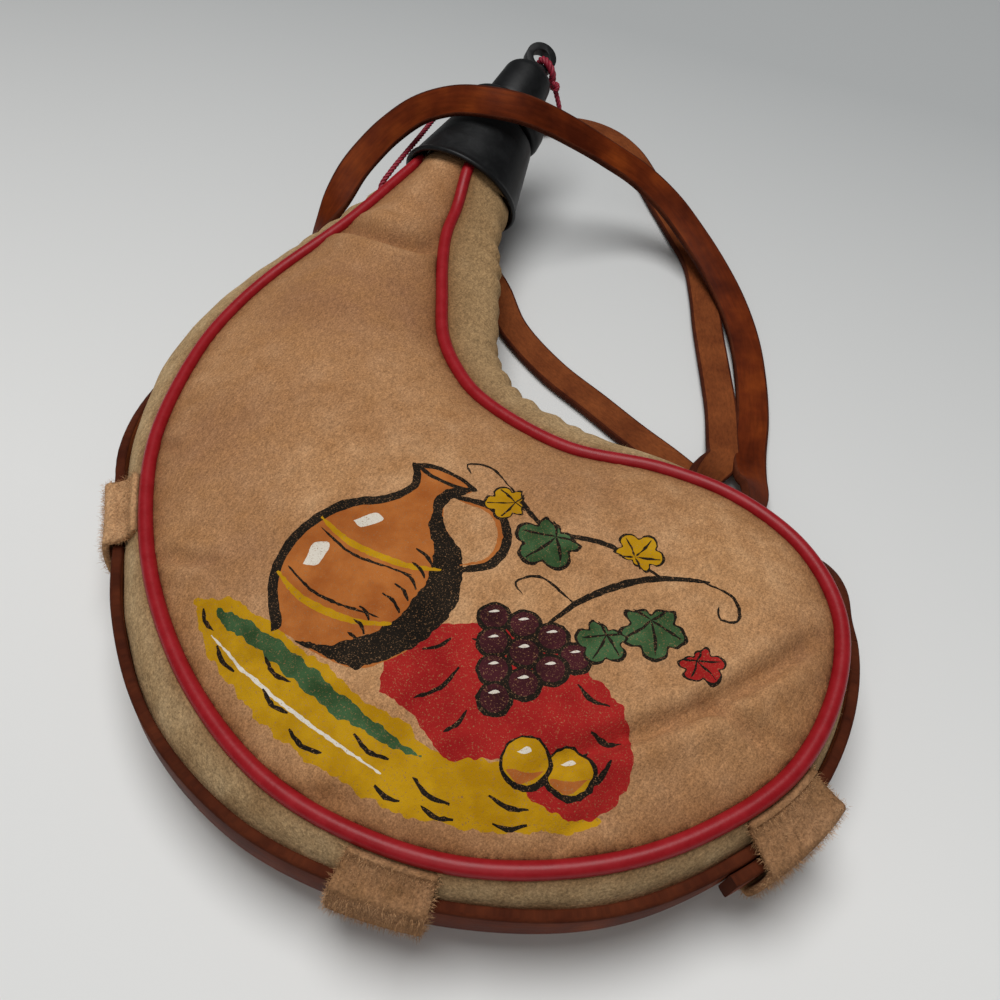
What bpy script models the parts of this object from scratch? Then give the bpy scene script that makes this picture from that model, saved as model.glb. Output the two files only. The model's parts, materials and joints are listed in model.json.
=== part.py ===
"""Leather bota bag, lying on its back with its neck raised.

Units are metres, +Z is up, and +Y runs along the mouthpiece as seen from above. The origin is the
middle of the flat back face on which the bag rests. Run with blender --background --python part.py.
"""
import math

import bmesh
import bpy
import numpy as np
from mathutils import Matrix, Vector, geometry

# Overall sizes of the sewn bag
BAG_WIDTH = 0.194
BAG_LENGTH = 0.201
FRONT_SEAM_HEIGHT = 0.028
BACK_SEAM_HEIGHT = 0.008
CROWN_HEIGHT = 0.0105
CROWN_REACH = 0.042
BACK_RISE_REACH = 0.013
BACK_SHIFT_X = -0.0035
BACK_SHIFT_Y = -0.0015
GUSSET_BULGE = 0.009
SEAM_RISE = 0.0100
SEAM_RISE_LENGTH = 0.100
NECK_LIFT_LENGTH = 0.070

# How finely the two big faces of the bag are divided
PANEL_MESH = 0.0145
PANEL_BELT = 0.0060
SMOOTHING_STEP = 0.0025

# Sheet goods and cords
LEATHER_THICKNESS = 0.0018
PIPING_RADIUS = 0.0019
BLADDER_WALL = 0.0010
BLADDER_CLEARANCE = 0.0032
STRAP_WIDTH = 0.0098
STRAP_THICKNESS = 0.0026
KEEPER_WIDTH = 0.0182
KEEPER_THICKNESS = 0.0016
KEEPER_SPRING = 0.0004
RED_CORD_RADIUS = 0.0009
GAP = 0.0003

# The neck and the mouthpiece, measured along the mouthpiece's own axis from the collar's rim
RIM_HEIGHT = 0.026
MOUTH_TILT_DEGREES = 21.0
NECK_INSERT = 0.013
NECK_WAIST = 0.0070
NECK_MOUTH_RADIUS = 0.0167
NECK_WAIST_RADIUS = 0.0142
NECK_END_RADIUS = 0.0139
PIPING_INSERT = 0.0012
COLLAR_RIM_RADIUS = 0.0206
COLLAR_TOP_RADIUS = 0.0144
COLLAR_LENGTH = 0.026
COLLAR_WALL = 0.0012
COLLAR_LIP = 0.0009
COLLAR_WEB = 0.0016
STEM_RADIUS = 0.0105
STEM_WALL = 0.0013
STEM_REACH = 0.0035
BINDING_WIRE_RADIUS = 0.00045
BINDING_TURNS = 3
BINDING_STATION = 0.0084
SEAL_THICKNESS = 0.0010
SEAL_WIDTH = 0.0034
STOPPER_SEAL_THICKNESS = 0.0008
STOPPER_SEAL_WIDTH = 0.0026
RING_RADIUS = 0.0152
RING_LENGTH = 0.0075
RING_ROUNDING = 0.0022
PLUG_LENGTH = 0.0085
PLUG_BORE_RADIUS = 0.0066
NOZZLE_NECK_RADIUS = 0.0066
NOZZLE_NECK_LENGTH = 0.0060
NOZZLE_SHANK_RADIUS = 0.0044
NOZZLE_TIP_RADIUS = 0.0024
NOZZLE_LENGTH = 0.0150
JET_RADIUS = 0.0009
STOPPER_RADIUS = 0.0101
STOPPER_LENGTH = 0.0182
STOPPER_CROWN_RADIUS = 0.0048
STOPPER_TAPER = 0.0012
THREAD_CLEARANCE = 0.0004
LUG_RADIUS = 0.0055
LUG_THICKNESS = 0.0042
LUG_STANDOFF = 0.0060
EYE_RADIUS = 0.0030
KNOT_RADIUS = 0.0019

# Counts that set how fine the shapes are
RUNGS = 30
NECK_STEPS = 4
NECK_ARC_STEPS = 6
GUSSET_STEPS = 8
BLADDER_SIDE_STEPS = 6
BLADDER_FACE_STEPS = 6
TURN_STEPS = 32
TUBE_RESOLUTION = 2
KEEPER_STEPS = 16
LUG_STEPS = 14
LOOP_STEPS = 20
FREE_STRAP_STEPS = 78
RED_CORD_STEPS = 40

# Where the seam runs, as shares of BAG_WIDTH and BAG_LENGTH, with the gusset's bulge there as a
# share of GUSSET_BULGE: down the left side, round the bottom and back up the hollow right side.
SEAM_SHARES = [
    (-0.459, 0.459, 1.03),
    (-0.495, 0.299, 1.11),
    (-0.500, 0.216, 1.14),
    (-0.487, 0.123, 1.07),
    (-0.427, -0.032, 0.70),
    (-0.354, -0.133, 0.40),
    (-0.254, -0.227, 0.62),
    (-0.129, -0.304, 0.75),
    (0.005, -0.349, 0.58),
    (0.122, -0.353, 0.41),
    (0.243, -0.327, 0.31),
    (0.359, -0.261, 0.42),
    (0.434, -0.185, 0.38),
    (0.491, -0.082, 0.33),
    (0.500, 0.034, 0.29),
    (0.470, 0.130, 0.28),
    (0.401, 0.197, 0.29),
    (0.303, 0.230, 0.42),
    (0.201, 0.229, 0.94),
    (0.072, 0.203, 1.52),
    (-0.073, 0.226, 1.61),
    (-0.136, 0.261, 1.74),
    (-0.185, 0.305, 1.81),
    (-0.234, 0.379, 1.87),
    (-0.268, 0.434, 1.92),
    (-0.297, 0.492, 1.86),
    (-0.315, 0.554, 1.56),
]
RIM_X_SHARE = -0.371
RIM_Y_SHARE = 0.647

# Where the four seams meet the round neck, as angles from its top, clockwise seen from the bag
FRONT_LEFT_DEGREES = -50.0
FRONT_RIGHT_DEGREES = 25.0
BACK_LEFT_DEGREES = -145.0
BACK_RIGHT_DEGREES = 145.0

# Where the keepers and the held strap lie, as shares of the seam's length from its left end. Each
# level pairs such a share with how far down the gusset the strap stands there.
KEEPER_SHARES = {"keeper_left": 0.270, "keeper_bottom": 0.4515, "keeper_right": 0.5745}
STRAP_START_SHARE = 0.100
STRAP_END_SHARE = 0.645
STRAP_LEVEL_SHARES = ((0.100, 0.78), (0.190, 0.74), (0.252, 0.53), (0.380, 0.52))
LAP_LENGTH = 0.0190
CORD_END_SHARE = 0.045
CORD_END_LEVEL_SHARE = 0.60
BLADDER_BULGE_SHARE = 0.55
LUG_ROOT_SHARE = 0.66
LOOP_SHARE = 0.45
LOOP_STRETCH = 1.1
EYE_TURN_DEGREES = 30.0
CORD_DROP_DEGREES = 30.0

# The free strap's route from the left rim to the right rim, in metres, each point with the strap's
# roll in degrees: over the mouthpiece, round a hairpin beside the bag, back along the table, round
# beyond the mouthpiece, under the collar and along the hollow side.
FREE_STRAP_ROUTE = [
    (-0.1058, 0.0882, 0.0150, -5),
    (-0.1068, 0.0961, 0.0185, 45),
    (-0.1065, 0.1030, 0.0230, 75),
    (-0.1063, 0.1100, 0.0273, 102),
    (-0.1056, 0.1170, 0.0316, 118),
    (-0.1034, 0.1240, 0.0358, 126),
    (-0.0995, 0.1310, 0.0406, 130),
    (-0.0915, 0.1380, 0.0468, 133),
    (-0.0800, 0.1420, 0.0513, 135),
    (-0.0680, 0.1440, 0.0530, 135),
    (-0.0583, 0.1487, 0.0510, 133),
    (-0.0505, 0.1540, 0.0465, 130),
    (-0.0420, 0.1595, 0.0405, 125),
    (-0.0330, 0.1650, 0.0335, 118),
    (-0.0225, 0.1690, 0.0265, 112),
    (-0.0110, 0.1690, 0.0195, 106),
    (-0.0005, 0.1654, 0.0135, 100),
    (0.0105, 0.1586, 0.0088, 96),
    (0.0222, 0.1480, 0.0052, 92),
    (0.0330, 0.1337, 0.0030, 90),
    (0.0415, 0.1177, 0.0019, 90),
    (0.0483, 0.1010, 0.0019, 90),
    (0.0527, 0.0862, 0.0026, 88),
    (0.0562, 0.0760, 0.0052, 75),
    (0.0598, 0.0680, 0.0080, 50),
    (0.0606, 0.0610, 0.0088, 28),
    (0.0572, 0.0558, 0.0089, 12),
    (0.0515, 0.0542, 0.0089, 0),
    (0.0466, 0.0572, 0.0089, -14),
    (0.0449, 0.0635, 0.0086, -32),
    (0.0458, 0.0710, 0.0072, -55),
    (0.0466, 0.0790, 0.0044, -78),
    (0.0434, 0.0885, 0.0024, -88),
    (0.0383, 0.1005, 0.0019, -90),
    (0.0315, 0.1135, 0.0019, -90),
    (0.0205, 0.1340, 0.0019, -90),
    (0.0125, 0.1500, 0.0019, -90),
    (0.0040, 0.1646, 0.0019, -90),
    (-0.0085, 0.1785, 0.0019, -90),
    (-0.0217, 0.1925, 0.0019, -90),
    (-0.0350, 0.2070, 0.0019, -90),
    (-0.0475, 0.2190, 0.0022, -86),
    (-0.0600, 0.2255, 0.0030, -79),
    (-0.0720, 0.2265, 0.0036, -73),
    (-0.0835, 0.2215, 0.0040, -69),
    (-0.0920, 0.2120, 0.0042, -67),
    (-0.0975, 0.1990, 0.0042, -67),
    (-0.0985, 0.1850, 0.0040, -69),
    (-0.0955, 0.1710, 0.0034, -75),
    (-0.0895, 0.1580, 0.0026, -83),
    (-0.0810, 0.1450, 0.0019, -90),
    (-0.0710, 0.1340, 0.0019, -90),
    (-0.0610, 0.1260, 0.0019, -90),
    (-0.0500, 0.1170, 0.0019, -90),
    (-0.0355, 0.1025, 0.0019, -90),
    (-0.0150, 0.0905, 0.0019, -90),
    (0.0036, 0.0835, 0.0019, -90),
    (0.0192, 0.0775, 0.0019, -90),
    (0.0330, 0.0728, 0.0019, -90),
    (0.0460, 0.0675, 0.0017, -90),
    (0.0580, 0.0620, 0.0018, -88),
    (0.0690, 0.0565, 0.0032, -75),
    (0.0778, 0.0510, 0.0066, -50),
    (0.0850, 0.0448, 0.0118, -28),
    (0.0903, 0.0370, 0.0161, -12),
]

# The red cord's route, in metres to the side, above and along the mouthpiece's axis
RED_CORD_ROUTE = [
    (0.0104, -0.0076, 0.0540),
    (0.0110, -0.0125, 0.0505),
    (0.0065, -0.0176, 0.0465),
    (-0.0025, -0.0196, 0.0432),
    (-0.0125, -0.0158, 0.0402),
    (-0.0198, -0.0080, 0.0368),
    (-0.0226, -0.0008, 0.0316),
    (-0.0221, 0.0028, 0.0235),
    (-0.0217, 0.0051, 0.0132),
    (-0.0221, 0.0065, 0.0037),
    (-0.0234, 0.0062, -0.0044),
    (-0.0244, 0.0048, -0.0100),
]

RIM = Vector((RIM_X_SHARE * BAG_WIDTH, RIM_Y_SHARE * BAG_LENGTH, RIM_HEIGHT))
TILT = math.radians(MOUTH_TILT_DEGREES)
AXIS = Vector((0.0, math.cos(TILT), math.sin(TILT)))
AXIS_UP = Vector((0.0, -math.sin(TILT), math.cos(TILT)))
SIDE = Vector((1.0, 0.0, 0.0))


def material(name, hex_colour, roughness, metallic=0.0):
    """A Principled material in an sRGB colour."""
    made = bpy.data.materials.new(name)
    made.use_nodes = True
    shader = made.node_tree.nodes["Principled BSDF"]
    channels = [int(hex_colour[i:i + 2], 16) / 255 for i in (1, 3, 5)]
    linear = [c / 12.92 if c <= 0.04045 else ((c + 0.055) / 1.055) ** 2.4 for c in channels]
    shader.inputs["Base Color"].default_value = (*linear, 1.0)
    shader.inputs["Roughness"].default_value = roughness
    shader.inputs["Metallic"].default_value = metallic
    made.diffuse_color = (*linear, 1.0)
    return made


def add_object(name, data, finish, collection, parent=None):
    """Link an object that carries one material."""
    made = bpy.data.objects.new(name, data)
    data.materials.append(finish)
    collection.objects.link(made)
    made.parent = parent
    return made


def smooth_curve(points, samples_per_span=12):
    """A dense centripetal Catmull-Rom curve through rows of numbers."""
    pts = np.array(points, float)
    first = 2 * pts[0] - pts[1]
    last = 2 * pts[-1] - pts[-2]
    pts = np.vstack([first, pts, last])
    rows = []
    for p0, p1, p2, p3 in zip(pts[:-3], pts[1:-2], pts[2:-1], pts[3:]):
        knots = [0.0]
        for a, b in ((p0, p1), (p1, p2), (p2, p3)):
            knots.append(knots[-1] + math.sqrt(np.linalg.norm((b - a)[:3])))
        t0, t1, t2, t3 = knots
        for t in np.linspace(t1, t2, samples_per_span, endpoint=False):
            a1 = (t1 - t) / (t1 - t0) * p0 + (t - t0) / (t1 - t0) * p1
            a2 = (t2 - t) / (t2 - t1) * p1 + (t - t1) / (t2 - t1) * p2
            a3 = (t3 - t) / (t3 - t2) * p2 + (t - t2) / (t3 - t2) * p3
            b1 = (t2 - t) / (t2 - t0) * a1 + (t - t0) / (t2 - t0) * a2
            b2 = (t3 - t) / (t3 - t1) * a2 + (t - t1) / (t3 - t1) * a3
            rows.append((t2 - t) / (t2 - t1) * b1 + (t - t1) / (t2 - t1) * b2)
    rows.append(pts[-2])
    return np.array(rows)


def lengths_along(rows):
    """Distance along a dense curve at each of its rows."""
    steps = np.linalg.norm(np.diff(rows[:, :3], axis=0), axis=1)
    return np.concatenate([[0.0], np.cumsum(steps)])


def sample(rows, distances):
    """Rows of a dense curve at given distances along it."""
    along = lengths_along(rows)
    return np.array([[np.interp(d, along, rows[:, c]) for c in range(rows.shape[1])] for d in distances])


def neck_point(station, radius, degrees):
    """A point on the round neck, at a distance along its axis and an angle from its top."""
    angle = math.radians(degrees)
    return RIM + AXIS * float(station) + float(radius) * (math.sin(angle) * SIDE + math.cos(angle) * AXIS_UP)


def neck_rise(y):
    """How far the seam has climbed towards the collar at this y, from 0 to 1."""
    start = RIM.y - SEAM_RISE_LENGTH
    share = min(max((y - start) / SEAM_RISE_LENGTH, 0.0), 1.0)
    return share ** 1.7


def seam_controls():
    """Front seam, back seam and bulge at each control point, from the neck's left to its right."""
    stations = [(NECK_INSERT, NECK_END_RADIUS), (NECK_WAIST, NECK_WAIST_RADIUS), (0.0, NECK_MOUTH_RADIUS)]
    left, right = [], []
    for station, radius in stations:
        for rows, front, back in (
            (left, FRONT_LEFT_DEGREES, BACK_LEFT_DEGREES),
            (right, FRONT_RIGHT_DEGREES, BACK_RIGHT_DEGREES),
        ):
            bulge = radius * (1 - math.cos(math.radians(back - front) / 2))
            rows.append([*neck_point(station, radius, front), *neck_point(station, radius, back), bulge])
    body = []
    for x_share, y_share, bulge_share in SEAM_SHARES:
        x, y = x_share * BAG_WIDTH, y_share * BAG_LENGTH
        rise = neck_rise(y) * SEAM_RISE
        front = [x, y, FRONT_SEAM_HEIGHT + rise]
        back = [x + BACK_SHIFT_X, y + BACK_SHIFT_Y, BACK_SEAM_HEIGHT + rise / 2]
        body.append([*front, *back, bulge_share * GUSSET_BULGE])
    return left + body + right[::-1]


def seam_stations():
    """The seam sampled finely at the neck and evenly round the body."""
    dense = smooth_curve(seam_controls())
    along = lengths_along(dense)
    total = along[-1]
    tuck = NECK_INSERT
    left = np.linspace(0.0, tuck, NECK_STEPS, endpoint=False)
    middle = np.linspace(tuck, total - tuck, 2 * (RUNGS - NECK_STEPS) + 1)
    right = total - left[::-1]
    rows = sample(dense, np.concatenate([left, middle, right]))
    return rows[:, :3], rows[:, 3:6], rows[:, 6], total


def outward_normals(points):
    """Level unit vectors that point out of the bag, square to the seam."""
    tangents = np.gradient(points, axis=0)
    normals = np.stack([tangents[:, 1], -tangents[:, 0], np.zeros(len(points))], axis=1)
    normals /= np.linalg.norm(normals, axis=1)[:, None]
    return normals


FRONT_SEAM, BACK_SEAM, BULGE, SEAM_LENGTH = seam_stations()
FRONT_OUT = outward_normals(FRONT_SEAM)
BACK_OUT = outward_normals(BACK_SEAM)
LAST = len(FRONT_SEAM) - 1
SEAM_ALONG = lengths_along(FRONT_SEAM)


def seam_at(share):
    """Front seam, back seam, bulge and outward direction at a share of the seam's length."""
    distance = share * SEAM_LENGTH
    pick = [
        np.array([np.interp(distance, SEAM_ALONG, rows[:, c]) for c in range(3)])
        for rows in (FRONT_SEAM, BACK_SEAM, FRONT_OUT)
    ]
    return pick[0], pick[1], np.interp(distance, SEAM_ALONG, BULGE), pick[2] / np.linalg.norm(pick[2])


def gusset_profile(front, back, bulge, out, standoff=0.0, steps=40):
    """The gusset's section from the front seam to the back seam, moved off its surface by standoff."""
    q = np.linspace(0.0, 1.0, steps + 1)[:, None]
    rows = front + (back - front) * q + out * bulge * np.sin(math.pi * q)
    tangents = np.gradient(rows, axis=0)
    tangents /= np.linalg.norm(tangents, axis=1)[:, None]
    normals = out - tangents * (tangents @ out)[:, None]
    return rows + normals / np.linalg.norm(normals, axis=1)[:, None] * standoff


def trimmed(rows, start, end, count):
    """Even points on a section after both ends are cut back."""
    along = lengths_along(rows)
    return sample(rows, np.linspace(start, along[-1] - end, count + 1))


def round_neck(start, end, steps, trim):
    """Even points round the neck between two seams, clockwise seen from the bag, cut back by trim."""
    ends = []
    for p in (start, end):
        v = Vector(p) - RIM
        side, up = v.dot(SIDE), v.dot(AXIS_UP)
        ends.append((v.dot(AXIS), math.hypot(side, up), math.degrees(math.atan2(side, up))))
    (first_station, first_radius, first), (last_station, last_radius, last) = ends
    last += 360 if last < first else 0
    cut = math.degrees(trim / first_radius)
    rows = []
    for k in range(steps + 1):
        t = k / steps
        station = first_station + (last_station - first_station) * t
        radius = first_radius + (last_radius - first_radius) * t
        rows.append(neck_point(station, radius, first + cut + (last - first - 2 * cut) * t))
    return np.array(rows)


def leather_from(name, bm, finish, collection, thickness=LEATHER_THICKNESS):
    """Give an open surface its thickness, half to each side."""
    mesh = bpy.data.meshes.new(name)
    bm.to_mesh(mesh)
    bm.free()
    mesh.shade_smooth()
    made = add_object(name, mesh, finish, collection)
    solid = made.modifiers.new("Thickness", "SOLIDIFY")
    solid.thickness = thickness
    solid.offset = 0.0
    return made


def loft_rows(bm, grid):
    """Quads between rows of vertices."""
    for upper, lower in zip(grid[:-1], grid[1:]):
        for j in range(len(upper) - 1):
            bm.faces.new((upper[j], lower[j], lower[j + 1], upper[j + 1]))


def sheet(name, rows, finish, collection, thickness=LEATHER_THICKNESS):
    """A sheet of leather through rows of points."""
    bm = bmesh.new()
    loft_rows(bm, [[bm.verts.new(p) for p in row] for row in rows])
    return leather_from(name, bm, finish, collection, thickness)


def loft(name, sections, finish, collection, smooth=True, parent=None, closed=False):
    """A closed solid through loops of points. closed joins the last loop to the first."""
    mesh = bpy.data.meshes.new(name)
    bm = bmesh.new()
    loops = [[bm.verts.new(p) for p in section] for section in sections]
    count = len(loops[0])
    pairs = list(zip(loops[:-1], loops[1:]))
    if closed:
        pairs.append((loops[-1], loops[0]))
    for a, b in pairs:
        for j in range(count):
            k = (j + 1) % count
            bm.faces.new((a[j], a[k], b[k], b[j]))
    if not closed:
        bm.faces.new(loops[0][::-1])
        bm.faces.new(loops[-1])
    bmesh.ops.recalc_face_normals(bm, faces=bm.faces[:])
    bm.to_mesh(mesh)
    bm.free()
    if smooth:
        mesh.shade_smooth()
        mesh.set_sharp_from_angle(angle=math.radians(35))
    return add_object(name, mesh, finish, collection, parent)


def tube(name, points, radius, finish, collection, cyclic=False, parent=None, resolution=TUBE_RESOLUTION):
    """A round cord or tube along a list of points."""
    data = bpy.data.curves.new(name, "CURVE")
    data.dimensions = "3D"
    data.bevel_depth = radius
    data.bevel_resolution = resolution
    data.use_fill_caps = True
    spline = data.splines.new("POLY")
    spline.points.add(len(points) - 1)
    for target, p in zip(spline.points, points):
        target.co = (*p, 1.0)
    spline.use_cyclic_u = cyclic
    spline.use_smooth = True
    return add_object(name, data, finish, collection, parent)


def turned(name, profile, finish, collection, parent, station=0.0):
    """A body of revolution about its parent's Z axis. The profile runs down the outer side first."""
    mesh = bpy.data.meshes.new(name)
    on_axis = profile[0][0] == 0.0 and profile[-1][0] == 0.0
    edges = [(i, i + 1) for i in range(len(profile) - 1)]
    if not on_axis:
        edges.append((len(profile) - 1, 0))
    mesh.from_pydata([(r, 0.0, z) for r, z in profile], edges, [])
    made = add_object(name, mesh, finish, collection, parent)
    made.location = (0.0, 0.0, station)
    screw = made.modifiers.new("Turn", "SCREW")
    screw.steps = TURN_STEPS
    screw.render_steps = TURN_STEPS
    screw.use_merge_vertices = True
    screw.merge_threshold = 0.00001
    screw.use_smooth_shade = True
    return made


def arc(centre, radius, start_degrees, end_degrees, steps=5):
    """Points on an arc in the (radius, height) plane of a turned profile."""
    angles = np.radians(np.linspace(start_degrees, end_degrees, steps + 1))
    return [(centre[0] + radius * math.cos(a), centre[1] + radius * math.sin(a)) for a in angles]


def dense_line(points):
    """Points every few millimetres along a polygon's sides."""
    rows = np.array(points)
    total = lengths_along(rows)[-1]
    return sample(rows, np.linspace(0.0, total, int(total / SMOOTHING_STEP) + 1))


def face_edges(seam, out, front, reach):
    """A panel's arcs round the neck, from its open end inwards, and its edge round the body."""
    arcs = []
    for i in range(NECK_STEPS + 1):
        left, right = seam[i], seam[LAST - i]
        if front:
            arcs.append(round_neck(left, right, NECK_ARC_STEPS, reach))
        else:
            arcs.append(round_neck(right, left, NECK_ARC_STEPS, reach)[::-1])
    body = slice(NECK_STEPS + 1, LAST - NECK_STEPS)
    return arcs, seam[body] - out[body] * reach


def face_surface(arcs, edge, front):
    """A function for the height of a panel's middle surface above any point on the table."""
    mouth = arcs[-1]
    rim = dense_line(np.vstack([mouth[:1], edge, mouth[-1:]]))
    known = np.vstack([rim, mouth])
    spacing = lengths_along(rim)[-1] / len(rim)

    def height(p):
        apart = np.linalg.norm(known[:, :2] - p[:2], axis=1)
        weights = 1 / (apart + GAP) ** 3
        base = weights @ known[:, 2] / weights.sum()
        to_rim = np.linalg.norm(rim[:, :2] - p[:2], axis=1) + GAP
        inset = (np.sum(spacing / to_rim ** 4) * 2 / math.pi) ** (-1 / 3)
        if front:
            mouth_gap = np.min(np.linalg.norm(mouth[:, :2] - p[:2], axis=1))
            fade = mouth_gap ** 2 / (mouth_gap ** 2 + NECK_MOUTH_RADIUS ** 2 / 4)
            share = min(inset / CROWN_REACH, 1.0)
            return base + CROWN_HEIGHT * (1 - (1 - share) ** 2) * fade
        share = min(inset / (2 * BACK_RISE_REACH), 1.0)
        floor = LEATHER_THICKNESS / 2 + neck_underside(p[1])
        return floor + (base - floor) * (1 - share) ** 2

    return height


def is_inside(p, outline):
    """True where a point lies inside a closed polygon, seen from above."""
    crossings = 0
    for a, b in zip(outline, np.roll(outline, -1, axis=0)):
        if (a[1] > p[1]) != (b[1] > p[1]):
            crossings += p[0] < a[0] + (b[0] - a[0]) * (p[1] - a[1]) / (b[1] - a[1])
    return crossings % 2 == 1


def fill_face(bm, mouth, edge, height):
    """Fill a face of the bag with triangles between a row across its neck and its edge.

    Both are lists of vertices, from the left side round to the right side."""
    border = mouth + edge[::-1]
    outline = np.array([v.co for v in border])
    line = dense_line(np.vstack([outline, outline[:1]]))
    spots = []
    columns = np.arange(outline[:, 0].min(), outline[:, 0].max(), PANEL_MESH)
    rows = np.arange(outline[:, 1].min(), outline[:, 1].max(), PANEL_MESH * math.sqrt(3) / 2)
    for k, y in enumerate(rows):
        for x in columns + (k % 2) * PANEL_MESH / 2:
            spots.append((np.array((x, y, 0.0)), PANEL_BELT + PANEL_MESH / 2))
    n = len(outline)
    for k in range(n):
        along = outline[(k + 1) % n] - outline[k - 1]
        side = np.array((-along[1], along[0], 0.0)) / np.linalg.norm(along[:2])
        for sign in (-1, 1):
            spots.append((outline[k] + side * sign * PANEL_BELT, PANEL_BELT * 0.8))
    points = [Vector(p[:2]) for p in outline]
    for p, clear in spots:
        near = np.min(np.linalg.norm(line[:, :2] - p[:2], axis=1))
        if near > clear and is_inside(p, outline):
            points.append(Vector(p[:2]))
    made = geometry.delaunay_2d_cdt(points, [], [list(range(n))], 1, SMOOTHING_STEP / 1000)
    verts = list(border)
    for p in made[0][n:]:
        q = np.array((p.x, p.y, 0.0))
        q[2] = height(q)
        verts.append(bm.verts.new(q))
    for face in made[2]:
        bm.faces.new([verts[k] for k in face])


def make_panel(name, seam, out, front, finish, collection):
    """One of the two big panels: arcs round the neck, then one piece out to the seam."""
    arcs, edge = face_edges(seam, out, front, PIPING_RADIUS + 2 * GAP)
    bm = bmesh.new()
    grid = [[bm.verts.new(p) for p in row] for row in arcs]
    loft_rows(bm, grid)
    fill_face(bm, grid[-1], [bm.verts.new(p) for p in edge], face_surface(arcs, edge, front))
    bmesh.ops.recalc_face_normals(bm, faces=bm.faces[:])
    leather_from(name, bm, finish, collection)


def neck_underside(y):
    """How far the neck's underside stands off the table at this y."""
    lowest = neck_point(0.0, NECK_MOUTH_RADIUS + LEATHER_THICKNESS, 180.0)
    start = lowest.y - NECK_LIFT_LENGTH
    share = max((y - start) / NECK_LIFT_LENGTH, 0.0)
    return lowest.z * share ** 2


def piping_line(seam):
    """The seam's own stations, cut back to where the piping ends inside the collar's rim."""
    total = lengths_along(seam)[-1]
    cut = NECK_INSERT - PIPING_INSERT
    inner = [d for d in lengths_along(seam) if cut + PIPING_RADIUS < d < total - cut - PIPING_RADIUS]
    return sample(seam, [cut, *inner, total - cut])


def gusset_section(k, clear):
    """The gusset's section at a station: an arc round the neck, or a bulge between the seams."""
    front, back = FRONT_SEAM[k], BACK_SEAM[k]
    if k <= NECK_STEPS:
        return round_neck(back, front, GUSSET_STEPS, clear)[::-1]
    if k >= LAST - NECK_STEPS:
        return round_neck(front, back, GUSSET_STEPS, clear)
    return trimmed(gusset_profile(front, back, BULGE[k], FRONT_OUT[k]), clear, clear, GUSSET_STEPS)


def make_shell(collection, tan, suede, vinyl):
    """The sewn leather shell: two panels, the gusset between them and a piping on each seam."""
    make_panel("front_panel", FRONT_SEAM, FRONT_OUT, True, tan, collection)
    make_panel("back_panel", BACK_SEAM, BACK_OUT, False, tan, collection)
    sections = [gusset_section(k, PIPING_RADIUS + 2 * GAP) for k in range(LAST + 1)]
    sheet("gusset", sections, suede, collection)
    tube("front_piping", piping_line(FRONT_SEAM), PIPING_RADIUS, vinyl, collection)
    tube("back_piping", piping_line(BACK_SEAM), PIPING_RADIUS, vinyl, collection)


def make_bladder(collection, rubber):
    """The liner: a bag of rubber inside the shell, open at its neck, which fits over the stem."""
    inset = LEATHER_THICKNESS / 2 + BLADDER_CLEARANCE + BLADDER_WALL / 2
    reach = PIPING_RADIUS + 2 * inset
    first = NECK_STEPS + 2
    body = range(first, LAST - first + 1)
    bm = bmesh.new()
    faces = []
    for seam, out, front, lift in ((FRONT_SEAM, FRONT_OUT, True, -inset), (BACK_SEAM, BACK_OUT, False, inset)):
        arcs, edge = face_edges(seam, out, front, PIPING_RADIUS + 2 * GAP)
        surface = face_surface(arcs, edge, front)
        rim = []
        for k in body:
            p = seam[k] - out[k] * reach
            p[2] = surface(p) + lift
            rim.append(bm.verts.new(p))
        mouth = [rim[0]]
        for t in np.linspace(0.0, 1.0, BLADDER_FACE_STEPS + 1)[1:-1]:
            p = np.array(rim[0].co.lerp(rim[-1].co, t))
            p[2] = surface(p) + lift
            mouth.append(bm.verts.new(p))
        mouth.append(rim[-1])
        fill_face(bm, mouth, rim[1:-1], lambda p, surface=surface, lift=lift: surface(p) + lift)
        faces.append((rim, mouth))
    (front_rim, front_mouth), (back_rim, back_mouth) = faces
    sides = []
    for k, top, bottom in zip(body, front_rim, back_rim):
        column = [top]
        for q in np.linspace(0.0, 1.0, BLADDER_SIDE_STEPS + 1)[1:-1]:
            bulge = Vector(FRONT_OUT[k] * BULGE[k] * BLADDER_BULGE_SHARE * math.sin(math.pi * q))
            column.append(bm.verts.new(top.co.lerp(bottom.co, q) + bulge))
        sides.append(column + [bottom])
    loft_rows(bm, sides)
    ring = front_mouth[:-1] + sides[-1][:-1] + back_mouth[::-1][:-1] + sides[0][::-1][:-1]
    corners = (FRONT_LEFT_DEGREES, FRONT_RIGHT_DEGREES, BACK_RIGHT_DEGREES, BACK_LEFT_DEGREES + 360,
               FRONT_LEFT_DEGREES + 360)
    spans = (BLADDER_FACE_STEPS, BLADDER_SIDE_STEPS, BLADDER_FACE_STEPS, BLADDER_SIDE_STEPS)
    degrees = np.concatenate([
        np.linspace(start, end, steps, endpoint=False)
        for start, end, steps in zip(corners[:-1], corners[1:], spans)
    ])
    radius = STEM_RADIUS + 2 * GAP + BLADDER_WALL / 2
    mouth = COLLAR_LENGTH - PLUG_LENGTH - COLLAR_WEB - 2 * GAP
    for station in (-STEM_REACH, mouth):
        upper = [bm.verts.new(neck_point(station, radius, angle)) for angle in degrees]
        loft_rows(bm, [ring + ring[:1], upper + upper[:1]])
        ring = upper
    bmesh.ops.recalc_face_normals(bm, faces=bm.faces[:])
    leather_from("bladder", bm, rubber, collection, BLADDER_WALL)


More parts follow.
